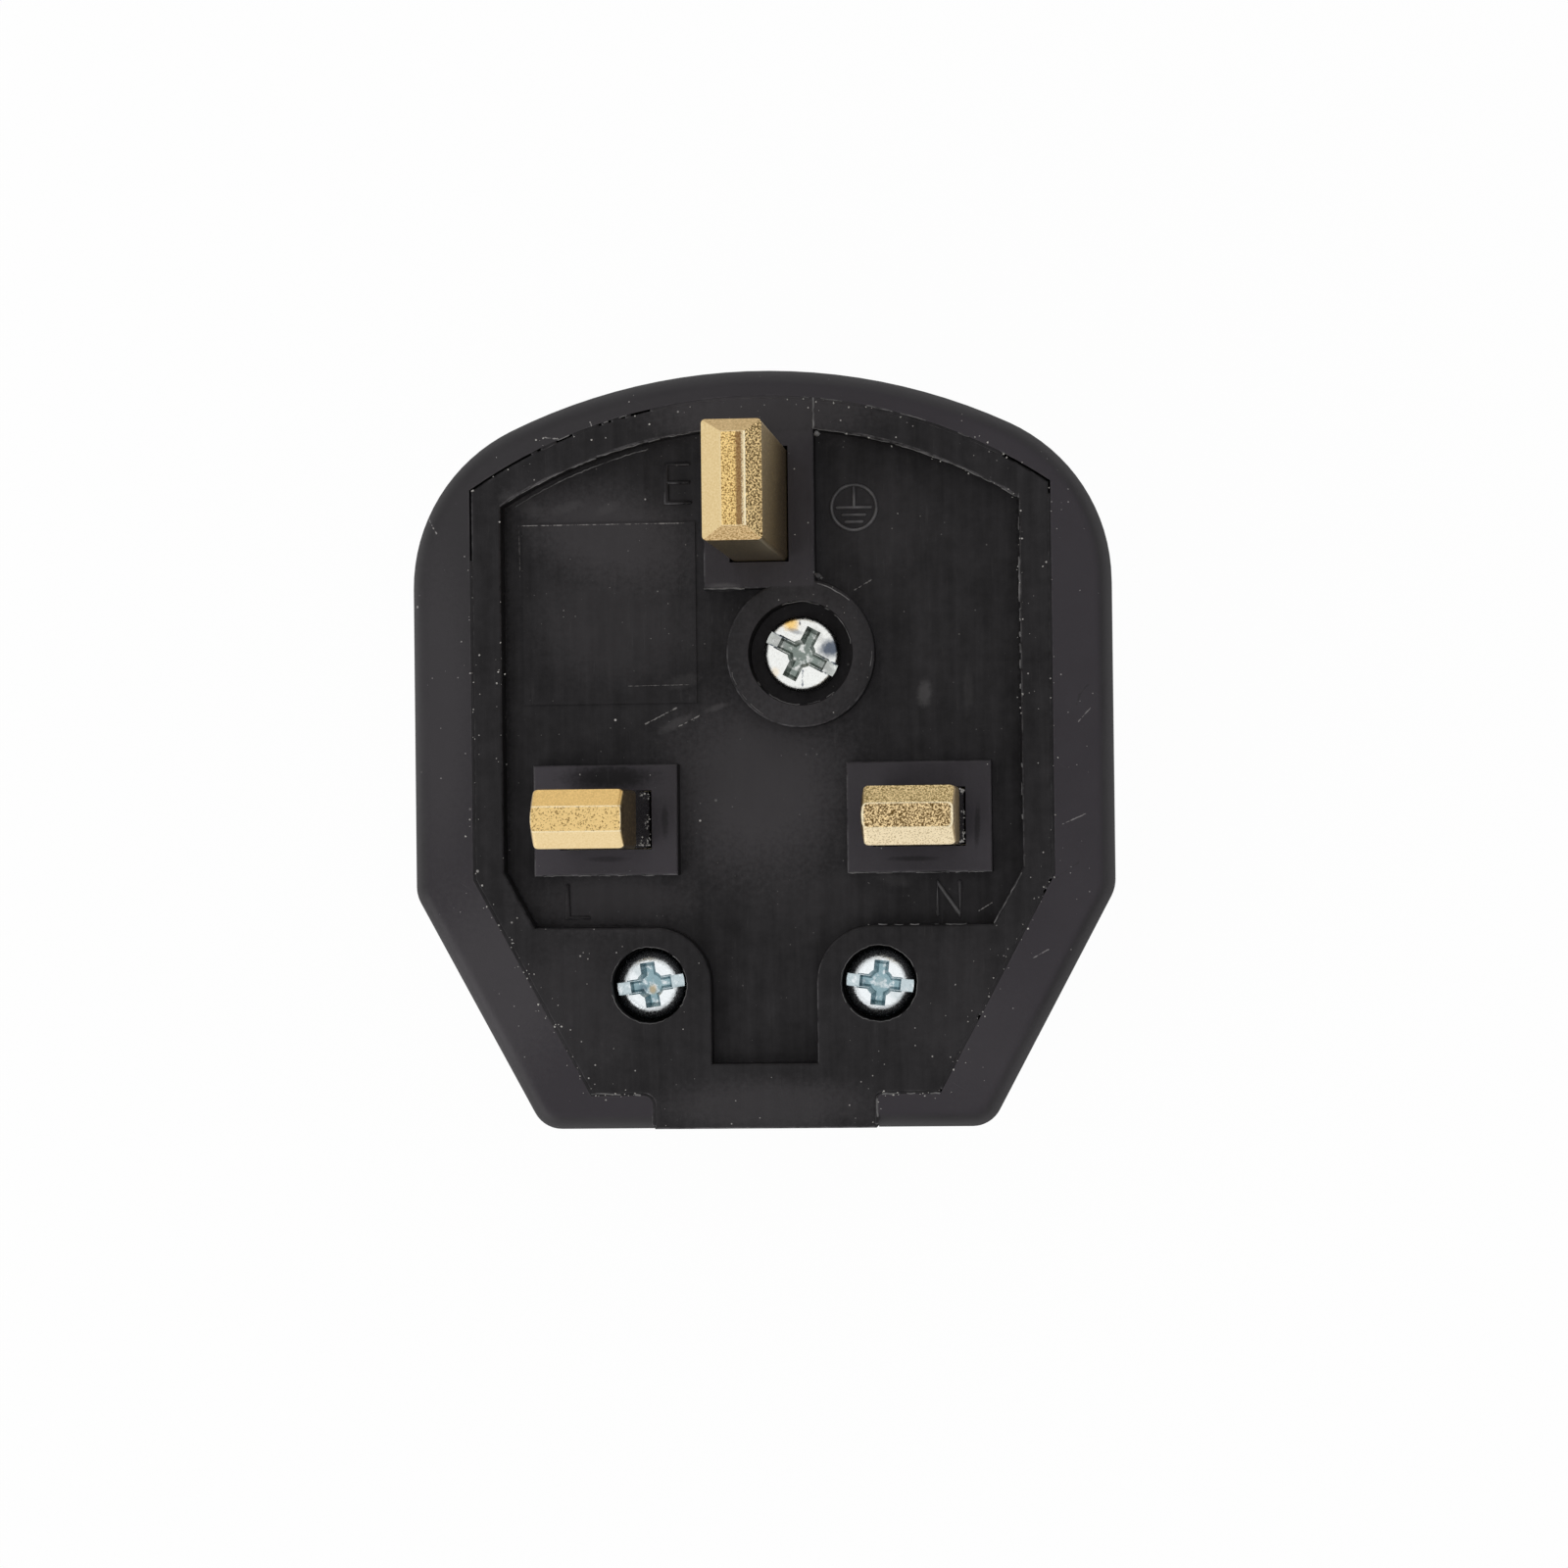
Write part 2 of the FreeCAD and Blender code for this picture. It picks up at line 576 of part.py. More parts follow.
def earth_pin():
    head = terminal_block(-terminal_block_width / 2, terminal_block_width / 2, earth_block_y,
                          earth_block_y + earth_block_length, terminal_z, plate_z, earth_screw_y())
    return joined(earth_pin_bar(), head)


def neutral_pin():
    head = terminal_block(live_pin_offset - neutral_block_width / 2, live_pin_offset + neutral_block_width / 2,
                          neutral_block_y, neutral_block_y + neutral_block_length,
                          terminal_z, plate_z, neutral_screw_y())
    return joined(live_pin(1), head)


# Line pin with the plate under the fuse clip and the spigot riveted over it
def line_pin():
    plate = box(fuse_x - fuse_radius, line_plate_right, line_clip_y, line_plate_top_y, clip_seat_z, plate_z)
    spigot = rod(rivet_radius, rivet_x, pin_line_y, strip_z, clip_seat_z)
    rivet = rod(rivet_head_radius, rivet_x, pin_line_y, strip_z - rivet_head_height, strip_z)
    return joined(live_pin(-1), plate, spigot, rivet)


def earth_screw_y():
    return earth_block_y + terminal_screw_head_radius + terminal_shoulder


def neutral_screw_y():
    return neutral_block_y + neutral_block_length - terminal_screw_head_radius - terminal_shoulder


def line_screw_y():
    return line_block_y + terminal_screw_head_radius + terminal_shoulder


def line_spigot_place():
    return line_block_x + line_block_width / 2, line_block_y + line_block_length / 2


def line_terminal():
    block = terminal_block(line_block_x, line_block_x + line_block_width, line_block_y,
                           line_block_y + line_block_length, terminal_z, strip_z, line_screw_y())
    spigot_x, spigot_y = line_spigot_place()
    return joined(block, rod(rivet_radius, spigot_x, spigot_y, strip_z, clip_seat_z + rivet_depth))


# Spring arms round the cap of the fuse, with flared lips, on a flat strip
def fuse_clip(arms_y, strip_x, strip_y, strip_length, hole_x, hole_y):
    inner = fuse_radius + thread_fit
    arms = lying_rod(clip_reach, fuse_x, fuse_z, arms_y, arms_y + clip_length)
    axis = FreeCAD.Vector(fuse_x, 0, fuse_z)
    reach = 2 * clip_reach
    mouth_x = reach * math.tan(math.radians(clip_opening))
    mouth = Part.makePolygon([FreeCAD.Vector(fuse_x, arms_y, fuse_z),
                              FreeCAD.Vector(fuse_x - mouth_x, arms_y, fuse_z - reach),
                              FreeCAD.Vector(fuse_x + mouth_x, arms_y, fuse_z - reach),
                              FreeCAD.Vector(fuse_x, arms_y, fuse_z)])
    mouth = Part.Face(mouth).extrude(FreeCAD.Vector(0, clip_length, 0))
    arms = arms.cut([lying_rod(inner, fuse_x, fuse_z, arms_y, arms_y + clip_length), mouth])
    lips = []
    for side in (-1, 1):
        lip = box(fuse_x - clip_sheet / 2, fuse_x + clip_sheet / 2, arms_y, arms_y + clip_length,
                  fuse_z - clip_reach - clip_lip, fuse_z - inner)
        lip_turn = clip_opening + math.degrees(clip_sheet / 2 / inner)
        lip.rotate(axis, FreeCAD.Vector(0, 1, 0), side * lip_turn)
        lips.append(lip)
    strip = box(fuse_x - fuse_radius * math.sin(math.radians(clip_opening)), strip_x, strip_y,
                strip_y + strip_length, strip_z, clip_seat_z)
    hole = rod(rivet_radius + thread_fit, hole_x, hole_y, strip_z - clear, clip_seat_z + clear)
    return joined(arms, strip, *lips).cut(hole)


def line_fuse_clip():
    return fuse_clip(line_clip_y, line_plate_right, line_clip_y, line_plate_top_y - line_clip_y,
                     rivet_x, pin_line_y)


def load_fuse_clip():
    spigot_x, spigot_y = line_spigot_place()
    return fuse_clip(load_clip_y, line_block_x + line_block_width, line_block_y, line_block_length,
                     spigot_x, spigot_y)


def fuse_cap(y0, y1, inside_y0, inside_y1):
    cap = lying_rod(fuse_radius, fuse_x, fuse_z, y0, y1)
    return cap.cut(lying_rod(fuse_radius - fuse_cap_wall, fuse_x, fuse_z, inside_y0, inside_y1))


def line_fuse_cap():
    return fuse_cap(fuse_y, fuse_y + fuse_cap_length, fuse_y + fuse_cap_end, fuse_y + fuse_length / 2)


def load_fuse_cap():
    return fuse_cap(fuse_top_y - fuse_cap_length, fuse_top_y,
                    fuse_top_y - fuse_length / 2, fuse_top_y - fuse_cap_end)


def fuse_barrel():
    ends = (fuse_y + fuse_cap_end, fuse_top_y - fuse_cap_end)
    tube = lying_rod(fuse_radius - fuse_cap_wall - thread_fit, fuse_x, fuse_z, *ends)
    return tube.cut(lying_rod(fuse_bore_radius, fuse_x, fuse_z, *ends))


def fuse_element():
    return lying_rod(fuse_element_radius, fuse_x, fuse_z, fuse_y + fuse_cap_end, fuse_top_y - fuse_cap_end)


# Pocket with drawn-in sides, open at the top of a head, with its half sizes given there
def drive_wing(half_x, half_y, head_height):
    grown = drive_draft * clear / drive_cross_depth
    low_x = half_x - drive_draft
    low_y = half_y - drive_draft
    wing = Part.makeWedge(-low_x, 0, -low_y, -half_y - grown, -half_x - grown,
                          low_x, drive_cross_depth + clear, low_y, half_y + grown, half_x + grown)
    wing.rotate(FreeCAD.Vector(0, 0, 0), FreeCAD.Vector(1, 0, 0), 90)
    wing.translate(FreeCAD.Vector(0, 0, head_height - drive_cross_depth))
    return wing


# Cross with a round middle, as cutters at the top of a head
def drive_cross(reach, head_height):
    grown = drive_draft * clear / drive_cross_depth
    middle = Part.makeCone(drive_cone_radius - drive_draft, drive_cone_radius + grown,
                           drive_cross_depth + clear, FreeCAD.Vector(0, 0, head_height - drive_cross_depth))
    return [middle, drive_wing(reach, drive_cross_width / 2, head_height),
            drive_wing(drive_cross_width / 2, reach, head_height)]


# Screw with its head seat at z = 0, head upwards, slot along X before it is turned
def pan_screw(head_radius, head_height, head_round, radius, length):
    head = rod(head_radius, 0, 0, 0, head_height)
    head = head.makeFillet(min(head_round, head_height / 2), level_edges(head, head_height))
    reach = head_radius + clear
    slot = box(-reach, reach, -drive_slot_width / 2, drive_slot_width / 2,
               head_height - drive_slot_depth, head_height + clear)
    return joined(head.cut(slot), rod(radius, 0, 0, -length, 0))


def placed(shape, x, y, z, turn):
    shape.rotate(FreeCAD.Vector(0, 0, 0), FreeCAD.Vector(0, 0, 1), turn)
    shape.translate(FreeCAD.Vector(x, y, z))
    return shape


def cover_screw():
    screw = pan_screw(cover_screw_head_radius, cover_screw_head_height, cover_screw_head_round,
                      cover_screw_radius, cover_screw_length)
    screw = screw.cut(drive_cross(cover_screw_cross_reach, cover_screw_head_height))
    seat = face_z - cover_screw_sink - cover_screw_head_height
    return placed(screw, cover_screw_x, cover_screw_y, seat, cover_screw_turn)


def cord_grip_screws():
    seat = face_z - grip_screw_sink - grip_screw_head_height
    tip = post_z - grip_bar_foot_length - screw_past_bar
    screws = []
    for side, turn in zip((-1, 1), grip_screw_turns):
        screw = pan_screw(grip_screw_head_radius, grip_screw_head_height, grip_screw_head_round,
                          grip_screw_radius, seat - tip)
        screw = screw.cut(drive_cross(grip_screw_cross_reach, grip_screw_head_height))
        screws.append(placed(screw, side * grip_screw_offset, grip_y, seat, turn))
    return Part.makeCompound(screws)


# Terminal screws point up into their blocks, heads towards the back of the cover
def terminal_screws():
    places = [(0, earth_screw_y()), (live_pin_offset, neutral_screw_y()),
              (line_block_x + line_block_width / 2, line_screw_y())]
    screws = []
    for x, y in places:
        screw = pan_screw(terminal_screw_head_radius, terminal_screw_head_height, terminal_screw_head_round,
                          terminal_screw_radius, terminal_screw_length)
        screw.rotate(FreeCAD.Vector(0, 0, 0), FreeCAD.Vector(1, 0, 0), 180)
        screws.append(placed(screw, x, y, terminal_z, 0))
    return Part.makeCompound(screws)


def cover_screw_washer():
    ring = rod(washer_radius, cover_screw_x, cover_screw_y, washer_z, boss_z)
    return ring.cut(rod(cover_screw_radius + thread_fit, cover_screw_x, cover_screw_y, washer_z, boss_z))


def cover_screw_insert():
    tube = rod(insert_radius, cover_screw_x, cover_screw_y, pillar_z - insert_length, pillar_z)
    return tube.cut(rod(cover_screw_radius + thread_fit, cover_screw_x, cover_screw_y,
                        pillar_z - insert_length, pillar_z))


# Bridge over the cord on two feet, with a ridge that bites the sheath
def cord_grip_bar():
    foot_z = post_z - grip_bar_foot_length
    under_z = foot_z + grip_bar_thickness
    feet = [rod(grip_bar_foot_radius, side * grip_screw_offset, grip_y, foot_z, post_z) for side in (-1, 1)]
    bridge = box(-grip_screw_offset, grip_screw_offset, grip_y - grip_bar_foot_radius,
                 grip_y + grip_bar_foot_radius, foot_z, under_z)
    ridge = box(-channel_half_width, channel_half_width, grip_y - grip_ridge_width / 2,
                grip_y + grip_ridge_width / 2, under_z, under_z + grip_ridge_height)
    holes = [rod(grip_screw_radius + thread_fit, side * grip_screw_offset, grip_y,
                 foot_z - clear, post_z + clear) for side in (-1, 1)]
    return joined(bridge, ridge, *feet).cut(holes)


nodes = {
    "cover": cover_shell(),
    "base_moulding": base_moulding(),
    "earth_pin": earth_pin(),
    "neutral_pin": neutral_pin(),
    "line_pin": line_pin(),
    "neutral_pin_sleeve": live_pin_sleeve(1),
    "line_pin_sleeve": live_pin_sleeve(-1),
    "cover_screw": cover_screw(),
    "cover_screw_washer": cover_screw_washer(),
    "cover_screw_insert": cover_screw_insert(),
    "cord_grip_bar": cord_grip_bar(),
    "cord_grip_screws": cord_grip_screws(),
    "terminal_screws": terminal_screws(),
    "line_terminal": line_terminal(),
    "line_fuse_clip": line_fuse_clip(),
    "load_fuse_clip": load_fuse_clip(),
    "fuse_barrel": fuse_barrel(),
    "line_fuse_cap": line_fuse_cap(),
    "load_fuse_cap": load_fuse_cap(),
    "fuse_element": fuse_element(),
}

os.makedirs("parts", exist_ok=True)
for name, shape in nodes.items():
    shape.exportStep("parts/" + name + ".step")
    print(name, len(shape.Solids), "solids", shape.isValid(), round(shape.Volume, 1), "mm3")
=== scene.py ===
import math
import random

import bmesh
import bpy
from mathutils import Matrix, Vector


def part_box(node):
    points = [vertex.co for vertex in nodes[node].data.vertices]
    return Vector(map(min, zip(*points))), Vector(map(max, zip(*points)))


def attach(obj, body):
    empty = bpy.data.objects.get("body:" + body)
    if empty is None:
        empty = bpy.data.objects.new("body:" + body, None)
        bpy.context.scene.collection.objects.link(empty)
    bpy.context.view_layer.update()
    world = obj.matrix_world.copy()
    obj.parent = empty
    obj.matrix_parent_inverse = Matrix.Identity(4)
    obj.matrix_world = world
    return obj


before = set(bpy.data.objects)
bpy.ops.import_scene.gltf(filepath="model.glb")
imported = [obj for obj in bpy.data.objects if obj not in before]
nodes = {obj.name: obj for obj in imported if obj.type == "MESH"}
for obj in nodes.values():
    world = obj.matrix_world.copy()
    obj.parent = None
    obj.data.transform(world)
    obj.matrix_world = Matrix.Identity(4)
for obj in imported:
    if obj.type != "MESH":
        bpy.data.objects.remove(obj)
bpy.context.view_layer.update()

mm = 0.001
scene = bpy.context.scene
print("frame loaded with", len(nodes), "solids")

# heights that the face details sit on
recessDepth = 2.0
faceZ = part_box("base_moulding")[1].z
recessZ = faceZ - recessDepth * mm
faceHigh = faceZ / mm


# middle of a solid seen from above, in millimetres
def middleOf(node):
    low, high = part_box(node)
    return round((low.x + high.x) / 2 / mm, 3), round((low.y + high.y) / 2 / mm, 3)


# places on the face that details gather round, in millimetres
lineX, pinY = middleOf("line_pin_sleeve")
neutralX = middleOf("neutral_pin_sleeve")[0]
coverScrewX, coverScrewY = middleOf("cover_screw")
gripScrewX, gripScrewY = 8.15, -16.65


# small helpers for node trees

def fillSockets(tree, sockets, inputs):
    for key, value in inputs.items():
        if isinstance(value, bpy.types.NodeSocket):
            tree.links.new(value, sockets[key])
        else:
            sockets[key].default_value = value


def addNode(tree, kind, inputs=None, **settings):
    made = tree.nodes.new("ShaderNode" + kind)
    for key, value in settings.items():
        setattr(made, key, value)
    fillSockets(tree, made.inputs, inputs or {})
    return made


def maths(tree, operation, first, second=0.0, clamp=False):
    made = addNode(tree, "Math", {0: first, 1: second}, operation=operation, use_clamp=clamp)
    return made.outputs[0]


def blendColours(tree, factor, first, second):
    made = addNode(tree, "Mix", {0: factor, 6: first, 7: second}, data_type="RGBA")
    return made.outputs[2]


def layOver(tree, colour, mask, share, tone):
    return blendColours(tree, maths(tree, "MULTIPLY", mask, share), colour, tone)


def blendValues(tree, factor, first, second):
    made = addNode(tree, "Mix", {0: factor, 2: first, 3: second}, data_type="FLOAT")
    return made.outputs[0]


def remap(tree, value, fromLow, fromHigh, toLow=0.0, toHigh=1.0, smooth=False):
    made = addNode(tree, "MapRange", {0: value, 1: fromLow, 2: fromHigh, 3: toLow, 4: toHigh})
    made.interpolation_type = "SMOOTHSTEP" if smooth else "LINEAR"
    return made.outputs[0]


def noise(tree, vector, scale, detail=3.0, roughness=0.55):
    made = addNode(tree, "TexNoise", {"Vector": vector, "Scale": scale, "Detail": detail,
                                      "Roughness": roughness})
    return made.outputs["Fac"]


def newGroup(name, inputs, outputs):
    group = bpy.data.node_groups.new(name, "ShaderNodeTree")
    for socket, default in inputs.items():
        made = group.interface.new_socket(socket, in_out="INPUT", socket_type="NodeSocketFloat")
        made.default_value = default
    for socket in outputs:
        group.interface.new_socket(socket, in_out="OUTPUT", socket_type="NodeSocketFloat")
    return group, group.nodes.new("NodeGroupInput").outputs, group.nodes.new("NodeGroupOutput").inputs


def useGroup(tree, group, **inputs):
    made = tree.nodes.new("ShaderNodeGroup")
    made.node_tree = group
    fillSockets(tree, made.inputs, inputs)
    return made.outputs


# place on the part in millimetres
def placeInMm(tree):
    place = addNode(tree, "TexCoord").outputs["Object"]
    return addNode(tree, "VectorMath", {0: place, "Scale": 1 / mm}, operation="SCALE").outputs[0]


# which way the surface faces, as x, y and z
def facingOf(tree):
    return addNode(tree, "SeparateXYZ", {0: addNode(tree, "NewGeometry").outputs["Normal"]}).outputs


# dust: small round flecks of uneven size, thicker in drifts
def buildDust():
    sizes = {"Spacing": 1.0, "Size": 0.1, "Amount": 0.5, "Drift": 0.5}
    group, given, out = newGroup("dustFlecks", sizes, ["Mask"])
    scale = maths(group, "DIVIDE", 1.0, given["Spacing"])
    cells = addNode(group, "TexVoronoi", {"Vector": placeInMm(group), "Scale": scale})
    pick = addNode(group, "SeparateColor", {0: cells.outputs["Color"]})
    chance = maths(group, "MULTIPLY", given["Amount"], remap(group, given["Drift"], 0.42, 0.68, 0.1, 2.2))
    chosen = maths(group, "LESS_THAN", pick.outputs[0], chance)
    away = maths(group, "DIVIDE", maths(group, "MULTIPLY", cells.outputs["Distance"], given["Spacing"]),
                 given["Size"])
    radius = maths(group, "POWER", pick.outputs[1], 2.0)
    fleck = maths(group, "SUBTRACT", maths(group, "ADD", radius, 0.25), away)
    soft = remap(group, fleck, 0.0, 0.35)
    strength = remap(group, maths(group, "POWER", pick.outputs[2], 2.0), 0.0, 1.0, 0.15, 1.0)
    mask = maths(group, "MULTIPLY", maths(group, "MULTIPLY", soft, chosen), strength, clamp=True)
    group.links.new(mask, out["Mask"])
    return group


# grain: fine unevenness of a moulded or cast skin
def buildGrain():
    group, given, out = newGroup("fineGrain", {"Scale": 8.0, "Cloud": 0.3}, ["Height", "Cloud"])
    place = placeInMm(group)
    fine = noise(group, place, given["Scale"], 4.0, 0.65)
    cloud = noise(group, place, given["Cloud"], 3.0)
    group.links.new(fine, out["Height"])
    group.links.new(remap(group, cloud, 0.3, 0.7), out["Cloud"])
    return group


# hairlines: long fine scratches lying one way on the flat
def buildHairlines():
    group, given, out = newGroup("hairlines", {"Turn": 0.0, "Fineness": 9.0, "Amount": 0.5}, ["Mask"])
    place = placeInMm(group)
    turned = addNode(group, "VectorRotate", {"Vector": place, "Angle": given["Turn"]},
                     rotation_type="Z_AXIS").outputs[0]
    split = addNode(group, "SeparateXYZ", {0: turned})
    across = maths(group, "MULTIPLY", split.outputs[1], given["Fineness"])
    along = maths(group, "MULTIPLY", split.outputs[0], 0.28)
    stretched = addNode(group, "CombineXYZ", {0: along, 1: across, 2: split.outputs[2]}).outputs[0]
    lines = noise(group, stretched, 1.0, 2.0, 0.6)
    limit = remap(group, given["Amount"], 0.0, 1.0, 0.78, 0.58)
    sharp = maths(group, "MULTIPLY", maths(group, "SUBTRACT", lines, limit), 12.0, clamp=True)
    patches = remap(group, noise(group, place, 0.35, 2.0), 0.45, 0.65)
    group.links.new(maths(group, "MULTIPLY", sharp, patches), out["Mask"])
    return group


# edges: where a rounded look at the surface leaves the true one
def buildEdges():
    group, given, out = newGroup("edgeWear", {"Reach": 0.25, "Break": 1.5}, ["Mask"])
    radius = maths(group, "MULTIPLY", given["Reach"], mm)
    rounded = addNode(group, "Bevel", {"Radius": radius}, samples=6).outputs[0]
    true = addNode(group, "NewGeometry").outputs["Normal"]
    agree = addNode(group, "VectorMath", {0: rounded, 1: true}, operation="DOT_PRODUCT").outputs["Value"]
    edge = remap(group, agree, 0.98, 0.8)
    broken = remap(group, noise(group, placeInMm(group), given["Break"], 3.0), 0.4, 0.65)
    group.links.new(maths(group, "MULTIPLY", edge, broken), out["Mask"])
    return group


# painted edge highlights: the rounded edges of the face, brighter where they turn to the lower left,
# towards the key light
def buildEdgeHighlights():
    group, given, out = newGroup("edgeHighlights", {"Break": 1.2}, ["Mask"])
    facing = facingOf(group)
    turn = maths(group, "MULTIPLY", remap(group, facing[2], 0.97, 0.75),
                 remap(group, facing[2], 0.12, 0.35))
    lit = maths(group, "ADD", maths(group, "MULTIPLY", facing[1], -0.75),
                maths(group, "MULTIPLY", facing[0], -0.45))
    lit = remap(group, lit, -0.3, 0.6, 0.12, 1.0)
    broken = remap(group, noise(group, placeInMm(group), given["Break"], 4.0, 0.7), 0.36, 0.62)
    mask = maths(group, "MULTIPLY", maths(group, "MULTIPLY", turn, lit), broken)
    group.links.new(mask, out["Mask"])
    return group


# place on the face without its height
def flatPlace(tree):
    return addNode(tree, "VectorMath", {0: placeInMm(tree), 1: (1, 1, 0)}, operation="MULTIPLY").outputs[0]


def vectorStep(tree, operation, first, second=(0, 0, 0)):
    return addNode(tree, "VectorMath", {0: first, 1: second}, operation=operation).outputs


# line: a thin broken line between two places on the face
def buildThinLine():
    sizes = {"FromX": 0.0, "FromY": 0.0, "ToX": 1.0, "ToY": 1.0, "Width": 0.06, "Uneven": 0.5}
    group, given, out = newGroup("thinLine", sizes, ["Mask"])
    start = addNode(group, "CombineXYZ", {0: given["FromX"], 1: given["FromY"]}).outputs[0]
    end = addNode(group, "CombineXYZ", {0: given["ToX"], 1: given["ToY"]}).outputs[0]
    place = flatPlace(group)
    leg = vectorStep(group, "SUBTRACT", end, start)[0]
    off = vectorStep(group, "SUBTRACT", place, start)[0]
    share = maths(group, "DIVIDE", vectorStep(group, "DOT_PRODUCT", off, leg)["Value"],
                  vectorStep(group, "DOT_PRODUCT", leg, leg)["Value"], clamp=True)
    foot = addNode(group, "VectorMath", {0: leg, "Scale": share}, operation="SCALE").outputs[0]
    away = vectorStep(group, "DISTANCE", off, foot)["Value"]
    ragged = remap(group, given["Uneven"], 0.38, 0.6, 0.0, 1.2)
    thick = maths(group, "MULTIPLY", given["Width"], ragged)
    mask = maths(group, "DIVIDE", maths(group, "SUBTRACT", thick, away),
                 maths(group, "MULTIPLY", given["Width"], 0.5), clamp=True)
    group.links.new(mask, out["Mask"])
    return group


# spot: a soft ragged oval on the face
def buildSoftSpot():
    sizes = {"X": 0.0, "Y": 0.0, "Wide": 1.0, "High": 1.0, "Turn": 0.0, "Uneven": 0.5}
    group, given, out = newGroup("softSpot", sizes, ["Mask"])
    place = flatPlace(group)
    centre = addNode(group, "CombineXYZ", {0: given["X"], 1: given["Y"]}).outputs[0]
    off = vectorStep(group, "SUBTRACT", place, centre)[0]
    turned = addNode(group, "VectorRotate", {"Vector": off, "Angle": given["Turn"]},
                     rotation_type="Z_AXIS").outputs[0]
    reach = addNode(group, "CombineXYZ", {0: given["Wide"], 1: given["High"], 2: 1.0}).outputs[0]
    away = vectorStep(group, "LENGTH", vectorStep(group, "DIVIDE", turned, reach)[0])["Value"]
    uneven = maths(group, "MULTIPLY", maths(group, "SUBTRACT", given["Uneven"], 0.5), 0.6)
    value = maths(group, "ADD", maths(group, "SUBTRACT", 1.0, away), uneven)
    group.links.new(remap(group, value, 0.0, 0.7, smooth=True), out["Mask"])
    return group


# panel: distance in millimetres from the edge of a rounded panel, negative inside
def buildPanelEdge():
    sizes = {"X": 0.0, "Y": 0.0, "HalfX": 1.0, "HalfY": 1.0, "Round": 0.1}
    group, given, out = newGroup("panelEdge", sizes, ["Distance"])
    centre = addNode(group, "CombineXYZ", {0: given["X"], 1: given["Y"]}).outputs[0]
    off = vectorStep(group, "SUBTRACT", flatPlace(group), centre)[0]
    innerX = maths(group, "SUBTRACT", given["HalfX"], given["Round"])
    innerY = maths(group, "SUBTRACT", given["HalfY"], given["Round"])
    inner = addNode(group, "CombineXYZ", {0: innerX, 1: innerY}).outputs[0]
    past = vectorStep(group, "SUBTRACT", vectorStep(group, "ABSOLUTE", off)[0], inner)[0]
    outside = vectorStep(group, "LENGTH", vectorStep(group, "MAXIMUM", past)[0])["Value"]
    split = addNode(group, "SeparateXYZ", {0: past}).outputs
    inside = maths(group, "MINIMUM", maths(group, "MAXIMUM", split[0], split[1]), 0.0)
    group.links.new(maths(group, "SUBTRACT", maths(group, "ADD", outside, inside), given["Round"]),
                    out["Distance"])
    return group


dustFlecks = buildDust()
fineGrain = buildGrain()
hairlines = buildHairlines()
edgeWear = buildEdges()
edgeHighlights = buildEdgeHighlights()
thinLine = buildThinLine()
softSpot = buildSoftSpot()
panelEdge = buildPanelEdge()
print("shared effects built")


def newMaterial(name):
    material = bpy.data.materials.new(name)
    material.use_nodes = True
    tree = material.node_tree
    tree.nodes.clear()
    shader = addNode(tree, "BsdfPrincipled")
    out = addNode(tree, "OutputMaterial")
    tree.links.new(shader.outputs[0], out.inputs["Surface"])
    return material, tree, shader


def setShader(tree, shader, **inputs):
    fillSockets(tree, shader.inputs, {key.replace("_", " "): value for key, value in inputs.items()})


def bumpFrom(tree, height, depth, strength=1.0):
    bump = addNode(tree, "Bump", {"Height": height, "Distance": depth * mm, "Strength": strength})
    return bump.outputs[0]


# where dust has drifted thick or thin
def driftOf(tree):
    return noise(tree, placeInMm(tree), 0.30, 3.0)


# marks laid over a colour, in millimetres: a spot has x, y, half width, half height, turn and share,
# a line has x and y of both ends, width and share
def markEdges(tree):
    return noise(tree, flatPlace(tree), 2.8, 3.0, 0.62)


def addSpots(tree, colour, spots, tone, uneven):
    for x, y, wide, high, turn, share in spots:
        spot = useGroup(tree, softSpot, X=x, Y=y, Wide=wide, High=high, Turn=turn, Uneven=uneven)["Mask"]
        colour = layOver(tree, colour, spot, share, tone)
    return colour


def addLines(tree, colour, lines, tone, uneven):
    for fromX, fromY, toX, toY, width, share in lines:
        line = useGroup(tree, thinLine, FromX=fromX, FromY=fromY, ToX=toX, ToY=toY, Width=width,
                        Uneven=uneven)["Mask"]
        colour = layOver(tree, colour, line, share, tone)
    return colour
